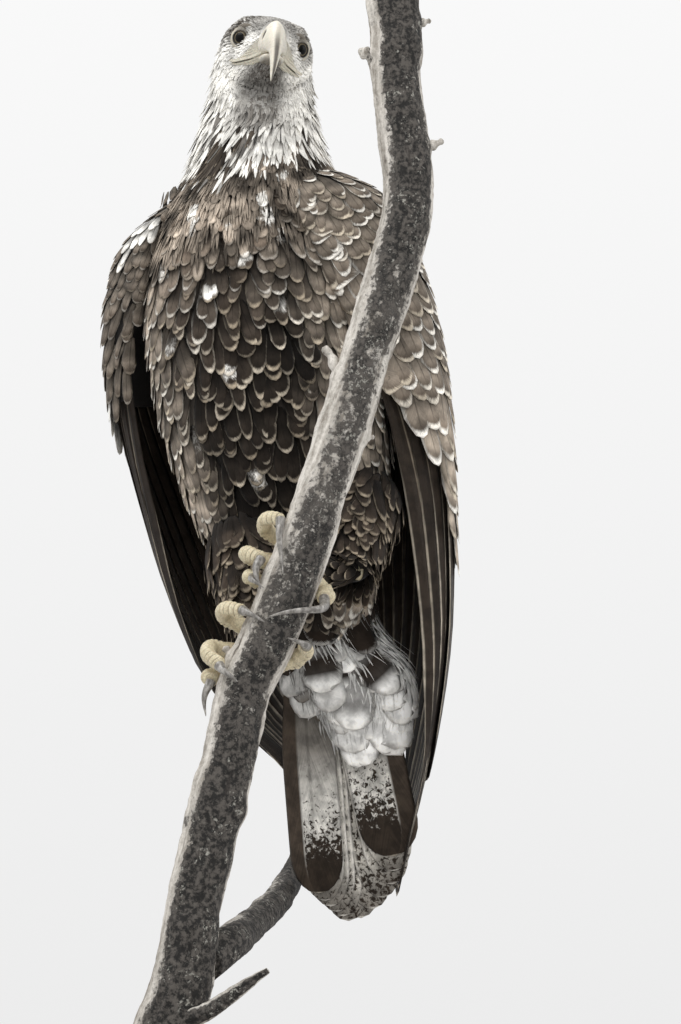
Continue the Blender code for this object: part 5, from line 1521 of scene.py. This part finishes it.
# Each row of a limb, in millimetres: a point of its line and its radius there, from its root to its tip.
STEM = metres([
    (-129, -57.5, 200, 27.5), (-107.7, -60, 260.3, 26.2), (-93.4, -62.6, 306.9, 25.2), (-87.5, -65.2, 354.1, 23.8),
    (-76.9, -68, 404.1, 23.2), (-65.6, -70.9, 454.7, 22.8), (-58.8, -72.3, 480.2, 22.6), (-48.2, -75.2, 531.5, 22.6),
    (-42.5, -76.2, 548.8, 22.8), (-26.2, -78, 582.5, 24), (-14.5, -79.8, 613.9, 24.2), (-0.2, -82, 650.7, 23.4),
    (11, -83.8, 681.5, 22.6), (17.2, -85.2, 703.7, 22.6), (29.1, -87.3, 738.4, 22.2), (44, -90.2, 788.7, 22.2),
    (54.4, -92.2, 821.3, 21.4), (65.5, -94.3, 858.7, 21.6), (77.5, -96.4, 897.3, 22.6), (87.6, -97.8, 931.8, 22.2),
    (95.2, -99.2, 967.4, 22.5), (96.8, -100.5, 1003.3, 22.3), (92.5, -101.9, 1037.6, 22), (88.4, -103.3, 1075.9, 22),
    (86.5, -104.4, 1104.9, 22.5), (86.8, -105.5, 1134, 23.2), (82.3, -107.5, 1186, 23.6),
])
FORK = metres([
    (-76.9, -58, 311.6, 17), (-59, -30, 329.9, 15.8), (-43.2, 50, 355.2, 14.4), (-29.4, 120, 378.5, 13.6),
    (-20, 185, 400.1, 12.8), (-12.7, 238, 421.7, 12.2), (-2.8, 272, 445, 11.8), (4.5, 300, 464.9, 11.4),
])
STUB = metres([
    (-108, -66, 259, 10), (-78, -82, 266, 7.2), (-48, -94, 284, 5.6), (-23, -102, 300, 2.8),
])
SEAT = 0.0006  # the gap between a toe and the bark


def stem_frame(height):
    """(middle, along, radius, towards the bird, to the bird's right) of the stem at heights."""
    low, rows, high = (smooth(np.asarray(height) + step, STEM[:, 2], STEM) for step in (-0.002, 0.0, 0.002))
    along = unit((high - low)[..., :3])
    behind = unit(np.array(SIDEWAYS) - along * along[..., 1:2])
    right = np.cross(behind, along)
    return rows[..., :3], along, rows[..., 3], behind, right * np.where(right[..., :1] < 0, 1, -1)


def round_stem(height, degrees, out):
    """A point off the bark, at an angle from the bird's side of it towards the bird's right."""
    middle, _, radius, behind, right = stem_frame(height)
    return middle + (radius + out)[..., None] * between(np.radians(degrees), behind, right)


# Each toe: the angle round the stem where it starts and ends, the height there over the foot's, its size, its
# bulge off the bark, and how far its claw turns on, rises and arches.
TOES = {
    "left": [
        ("inner", 22, 120, 0.014, 0.027, 1.00, 0.012, 30, -0.036, 0.002),
        ("middle", 26, 104, -0.002, -0.010, 1.05, 0.019, 20, -0.020, 0.004),
        ("outer", 20, 94, -0.020, -0.026, 0.95, 0.008, 30, -0.006, 0.003),
        ("hind", -26, -86, -0.006, -0.020, 1.10, 0.003, -66, -0.030, 0.013),
    ],
    "right": [
        ("inner", 22, 118, 0.018, 0.026, 1.00, 0.017, 32, -0.004, 0.002),
        ("middle", 26, 124, -0.001, -0.022, 1.05, 0.013, 28, -0.006, 0.003),
        ("outer", 22, 86, -0.019, -0.031, 0.95, 0.010, 6, -0.022, 0.003),
        ("hind", -26, -84, 0.004, 0.019, 1.10, 0.002, -36, -0.002, 0.003),
    ],
}
FOOT_HEIGHT = {"left": 0.652, "right": 0.571}


def foot_pad(side):
    """The middle of a foot, on the bark."""
    return round_stem(FOOT_HEIGHT[side], -1.0, 0.0120)


def scuted_tube(path, radii, columns, top, pitch, bulges):
    """(shell, scute) of a toe: a tube whose top carries overlapping scutes, each a step that rises and falls
    back, and whose underside swells into pads."""
    length = run_of(path)
    upper = ramp(np.cos(circle(columns)), -0.15, 0.35)
    phase = (length / pitch)[:, None] % 1.0
    step = np.where(phase < 0.22, phase / 0.22, 1 - 0.75 * (np.maximum(phase - 0.22, 0) / 0.78) ** 1.6)
    pads = np.cos(length / length[-1] * 2 * np.pi * bulges)[:, None]
    swell = 0.00165 * (step - 0.45) * upper - 0.0011 * pads * (1 - upper) + 0.0009 * pads * upper
    middle = path[:, None]
    rings = middle + (rings_along(path, radii, columns, top) - middle) * (1 + swell / radii[:, None])[..., None]
    return shell(rings), np.append(np.where(upper > 0.2, step, 1.0), [1.0, 1.0])


def make_foot(side):
    """Four toes wrap the stem, end in curved tapering claws, and meet in a pad under a bare shank."""
    height, parts = FOOT_HEIGHT[side], []
    t, s = np.linspace(0, 1, 140), np.linspace(0, 1, 48)
    for name, start, end, low, high, size, bulge, claw_turn, claw_rise, arch in TOES[side]:
        radius = 0.0071 * size
        off = radius + SEAT + bulge * np.sin(t * np.pi) ** 1.4
        toe = round_stem(height + low + (high - low) * t, start + (end - start) * t, off)
        top = unit(toe[0] - stem_frame(height + low)[0])
        ends = np.sqrt(np.clip(np.minimum((t + 0.06) / 0.12, (1.03 - t) / 0.07), 0.05, 1))
        parts.append(scuted_tube(toe, radius * (1 - 0.20 * t) * ends, 28, top, 0.0046, 2.5))
        claw_height = height + high + 1.25 * claw_rise * s
        claw = round_stem(claw_height, end + 1.6 * claw_turn * s, radius + SEAT)
        away = unit(claw - stem_frame(claw_height)[0])
        claw = claw + away * (arch * np.sin(s * np.pi) ** 1.4 - 0.55 * radius * s)[:, None]
        radii = radius * 0.64 * (1 - s**1.1 * 0.93) * np.sqrt(np.clip(s / 0.03 + 0.35, 0, 1))
        mesh_piece(f"talon_{side}_{name}", shell(rings_along(claw, radii, 24, top)), CLAW,
                   stands_for=[f"claw_{side}_{name}"])
    pad, ankle = foot_pad(side), np.array(ANKLES[side])
    t = np.linspace(-0.10, 1.0, 60)
    radii = np.interp(t, [-0.1, 0.2, 0.6, 0.85, 1.0], [0.0086, 0.0082, 0.0082, 0.0100, 0.0092])
    radii = radii * np.sqrt(np.clip((1.02 - t) / 0.10, 0.05, 1))
    parts.append(scuted_tube(ankle + (pad - ankle) * t[:, None], radii, 32, (0.0, -1.0, 0.0), 0.0048, 0.5))
    # The ball of the foot, an oval pad on the bark that the toes come out of.
    theta, phi = grid(np.linspace(0.05, math.pi - 0.05, 30), circle(40))
    _, along, _, behind, right = stem_frame(height)
    ball = between(theta, along * 0.0225, between(phi, behind * 0.0105, right * 0.0150))
    parts.append((shell(pad - behind * 0.0015 + ball), np.ones(theta.size + 2)))
    shells, scutes = zip(*parts)
    nodes = [f"shank_{side}"] + [f"toe_{side}_{row[0]}" for row in TOES[side]]
    mesh_piece(f"foot_{side}", join(shells), TOE_SKIN, [("scute", np.concatenate(scutes))], stands_for=nodes)


# -------------------- branch and stand

# Knots and dead twigs on the stem: height, degrees from the bird's side towards its right, size and reach.
KNOTS = [
    (1.116, 98.0, 0.0080, 0.013), (1.028, -92.0, 0.0058, 0.014), (0.812, 96.0, 0.0062, 0.020),
    (0.768, -96.0, 0.0050, 0.007), (0.560, 94.0, 0.0060, 0.009), (0.870, 178.0, 0.0090, 0.0015),
    (0.668, 172.0, 0.0095, 0.0020), (1.150, -84.0, 0.0050, 0.010), (0.440, -98.0, 0.0085, 0.003),
    (0.340, 176.0, 0.0090, 0.002),
]
TWIG = 0.004  # a knot with less reach than this is only a swelling
CUT_FACE = unit(np.array([0.34, -1.0, 0.0]))  # the side with dark bark, partly scabby bark and partly painted shade


def limb(table, rings, columns, seed, rough=0.7, swell=()):
    """A branch's surface: rings along its line, with broad bumps, fine ridges lengthways and swellings at knots.
    It gives the points, the directions out of the bark and the points as if the branch were straight."""
    rows, turn = smooth_rows(table, rings), circle(columns)
    points = rings_along(rows[:, :3], rows[:, 3], columns, SIDEWAYS)
    away = unit(points - rows[:, None, :3])
    along = (run_of(rows[:, :3]) + rows[0, 2])[:, None]

    def unroll(size, along):
        return np.stack(np.broadcast_arrays(np.cos(turn) * size, np.sin(turn) * size, along), -1)

    broad, fine = lattice(points, 0.022, seed) - 0.5, lattice(points, 0.0045, seed + 5) - 0.5
    ridge = lattice(unroll(6, along * 34), 1.0, seed + 3) - 0.5
    height = rough * (0.0028 * broad + 0.0020 * ridge + 0.0010 * fine)
    for middle, size, rise in swell:
        height = height + rise * bell(np.linalg.norm(points - middle, axis=-1), 0, size)
    return points + away * height[..., None], away, unroll(rows[:, 3:], along)


def twig(root, height, degrees, size, reach):
    """A knot's rings, from inside the bark outwards and a little upwards. The longest one curls."""
    middle, upward = stem_frame(height)[:2]
    way = unit(root - middle + upward * 0.012 * (1 if degrees > 0 else 0.4))
    t = np.linspace(0, 1, 26)
    curl = reach * 0.55 * np.sin(t * 2.2) * (reach > 0.015)
    path = root - way * 0.006 + way * ((reach + 0.006) * t)[:, None] + upward * curl[:, None]
    radii = size * (0.95 - 0.50 * t) * np.sqrt(np.clip((1.01 - t) / 0.12, 0.02, 1))
    radii = radii * (1 + 0.22 * np.sin(t * 13 + height * 50))
    rings = rings_along(path, radii, 24, upward)
    return rings + unit(rings - path[:, None]) * (0.0016 * (lattice(rings, 0.004, 9) - 0.5))[..., None]


def sawn_end(name, ring, way):
    """A sawn face that closes a branch, with a small rounded rim."""
    lip = 0.0012
    middle = ring.mean(0)
    shares = np.array([0.5, 1.0, 0.985, 0.94, 0.75, 0.5, 0.25, 0.05])[:, None, None]
    level = np.array([-0.004, -0.0015, 0.0002, lip, lip, lip, lip, lip])[:, None, None]
    face = shell(middle + (ring - middle) * shares + level * way)
    rings = np.linalg.norm(face[0] - middle - lip * way, axis=1)
    mesh_piece(f"sawn_end_{name}", face, END_GRAIN, [("ring", rings)])


def make_branch():
    """The stem, its fork and its broken stub, with knots and dead twigs, and sawn ends. Dark bark lies on one face,
    partly scabby bark and partly painted shade, and bare pale wood on the bird's right of it. The fork is darker,
    and darker still where it faces down, a painted shade."""
    heights, degrees, sizes, _ = np.array(KNOTS).T
    roots = round_stem(heights, degrees, 0.0)
    swell = [(root, size * 1.5, size * 0.42) for root, size in zip(roots, sizes)]
    limbs = limb(STEM, 560, 128, 1, 1.0, swell), limb(FORK, 200, 72, 2), limb(STUB, 90, 48, 3)
    for name, (points, away, unrolled) in zip(("stem", "fork", "stub"), limbs):
        up, face = points[..., 2], away @ CUT_FACE
        # Dark on the face towards CUT_FACE, partly scabby bark and partly painted shade; also darker towards the stem's
        # top and its foot.
        weather = 0.80 * ramp(face, 0.16, 0.96) - 0.08 + 0.16 * np.sin(up * 21.0 + 1.0) * (face > 0.3)
        weather = weather + 0.10 * ramp(up, 0.62, 0.40) * ramp(face, 0.3, 0.7)
        weather = weather + 0.26 * (ramp(up, 0.90, 0.99) + ramp(up, 0.58, 0.48))
        # The fork is darker all over, and more so where it faces down: painted shade under it.
        if name == "fork":
            weather = weather + 0.38 + 0.30 * ramp(away[..., 2], 0.75, -0.1)
        shells, marks = [shell(points)], [np.append(weather, [0.3, 0.3])]
        lines = [unrolled.reshape(-1, 3), unrolled[[0, -1], 0]]
        for root, knot in zip(roots, KNOTS if name == "stem" else ()):
            if knot[3] >= TWIG:
                rings = twig(root, *knot)
                shells.append(shell(rings))
                marks.append(np.full(len(shells[-1][0]), 0.30))
                lines += [rings.reshape(-1, 3), rings[[0, -1], 0]]
        attributes = [("weather", np.concatenate(marks)), ("unrolled", np.concatenate(lines))]
        mesh_piece(f"bark_{name}", join(shells), BARK, attributes, stands_for=[f"perch_{name}"])
        if name != "stub":
            sawn_end(name, points[-1], unit(points[-1].mean(0) - points[-3].mean(0)))


# Its radius and height, in millimetres.
PLINTH = metres([
    (1, 0), (192, 0), (197.5, 1.2), (200, 4.5), (200, 21.5), (199, 26.5), (195, 29.3), (188, 30), (150, 30), (60, 30),
    (1, 30),
])


def make_stand():
    """A turned plinth with a rounded rim, a steel rod with a flange, and the cup that holds the stem."""
    radius, height = smooth_rows(PLINTH, 160).T[..., None]
    radius, height, turn = np.clip(radius, 0.0005, 0.2), np.clip(height, 0.0, 0.03), circle(160)
    rings = np.broadcast_arrays(-0.045 + radius * np.cos(turn), 0.015 + radius * np.sin(turn), height)
    mesh_piece("plinth", shell(np.stack(rings, -1)), WOOD, stands_for=["stand_base"])
    foot, ahead = STEM[0, :3], stem_frame(0.204)[1]
    low = foot - ahead * 0.016
    base = low - ahead * 0.003 + (-0.020, 0.004, 0.0)
    base[2] = 0.0304
    rod = rings_along(straight(base, low + ahead * 0.002, 40), np.full(40, 0.0098), 48, SIDEWAYS)
    radii = np.interp(np.linspace(0, 1, 60), [0, 0.05, 0.3, 0.42, 0.94, 0.97, 1],
                      [0.0110, 0.0200, 0.0262, 0.0285, 0.0292, 0.0290, 0.0284])
    cup = rings_along(straight(low, foot + ahead * 0.012, 60), radii, 72, SIDEWAYS)
    radii = np.interp(np.linspace(0, 1, 24), [0, 0.5, 0.75, 1.0], [0.0250, 0.0250, 0.0240, 0.0115])
    base[2] = 0.0301
    flange = rings_along(straight(base, base + (0, 0, 0.006), 24), radii, 64, SIDEWAYS)
    mesh_piece("rod_and_cup", join(map(shell, (rod, cup, flange))), STEEL, stands_for=["stand_rod", "stand_cup"])


# -------------------- camera, light and floor


def make_backdrop():
    """Pale grey light all round, a little darker from below."""
    world = bpy.data.worlds.new("pale_studio")
    bpy.context.scene.world = world
    world.use_nodes = True
    tree = world.node_tree
    background = tree.nodes["Background"]
    place, parts, tone = (tree.nodes.new("ShaderNode" + kind) for kind in ("TexCoord", "SeparateXYZ", "ValToRGB"))
    tree.links.new(place.outputs["Generated"], parts.inputs[0])
    tree.links.new(parts.outputs[2], tone.inputs[0])
    tree.links.new(tone.outputs[0], background.inputs[0])
    for element, position, grey in zip(tone.color_ramp.elements, (0.05, 0.48), (0.83, 0.955)):
        element.position, element.color = position, (grey, grey, grey, 1)
    background.inputs[1].default_value = 1.0


def make_camera():
    """From in front and below, with a lens that takes in the whole bird and its stand."""
    data = bpy.data.cameras.new("view")
    data.lens, data.sensor_width, data.clip_end = 93.75, 36.0, 50.0
    camera = into_scene("view", data)
    spot, target = np.array([0.03645, -2.307, 0.0585]), np.array([0.03645, 0.0, 0.72])
    ahead = unit(target - spot)
    camera.location = tuple(spot)
    camera.rotation_euler = (math.pi / 2 + math.asin(ahead[2]), 0.0, -math.atan2(ahead[0], ahead[1]))
    bpy.context.scene.camera = camera


def make_lamps():
    """Three square lamps aimed at the bird's belly."""
    for name, spot, size, power in (
        ("overhead", (-0.9, -0.9, 2.9), 1.8, 34.0), ("front_fill", (0.5, -2.6, 0.9), 1.6, 12.0),
        ("side", (2.2, -0.3, 1.6), 1.2, 8.0),
    ):
        data = bpy.data.lights.new(name, "AREA")
        data.shape, data.size, data.energy = "SQUARE", size, power
        lamp = into_scene(name, data)
        lamp.location = spot
        way = unit(np.array([0.0, 0.0, 0.8]) - np.array(spot))
        lamp.rotation_euler = (math.acos(-way[2]), 0.0, math.atan2(-way[0], way[1]))


def make_floor():
    """A wide pale floor. It is scenery, and no part of the model."""
    finish = bpy.data.materials.new("pale_floor")
    finish.use_nodes = True
    inputs = finish.node_tree.nodes["Principled BSDF"].inputs
    inputs["Base Color"].default_value, inputs["Roughness"].default_value = (0.60, 0.60, 0.60, 1), 0.9
    floor = bpy.data.meshes.new("floor")
    floor.from_pydata([(-6, -6, 0), (6, -6, 0), (6, 6, 0), (-6, 6, 0)], [], [(0, 1, 2, 3)])
    floor.materials.append(finish)
    into_scene("floor", floor)


# -------------------- the whole model

make_backdrop()
make_camera()
make_lamps()
make_floor()
bpy.context.scene.view_settings.view_transform = "Standard"
make_skin()
make_bill()
make_face()
for (side, sign), centre in zip(SIDES, EYE_CENTRES):
    make_eye(side, sign, centre)
for side, _ in SIDES:
    make_foot(side)
make_branch()
make_stand()
# The coat's pieces share one source of chance, so their order matters.
dress_head()
dress_neck()
dress_breast()
dress_back()
dress_thighs()
dress_tail()
dress_under_tail()
dress_over_tail()
for side, _ in SIDES:
    dress_wing(side)
    dress_flight(side)
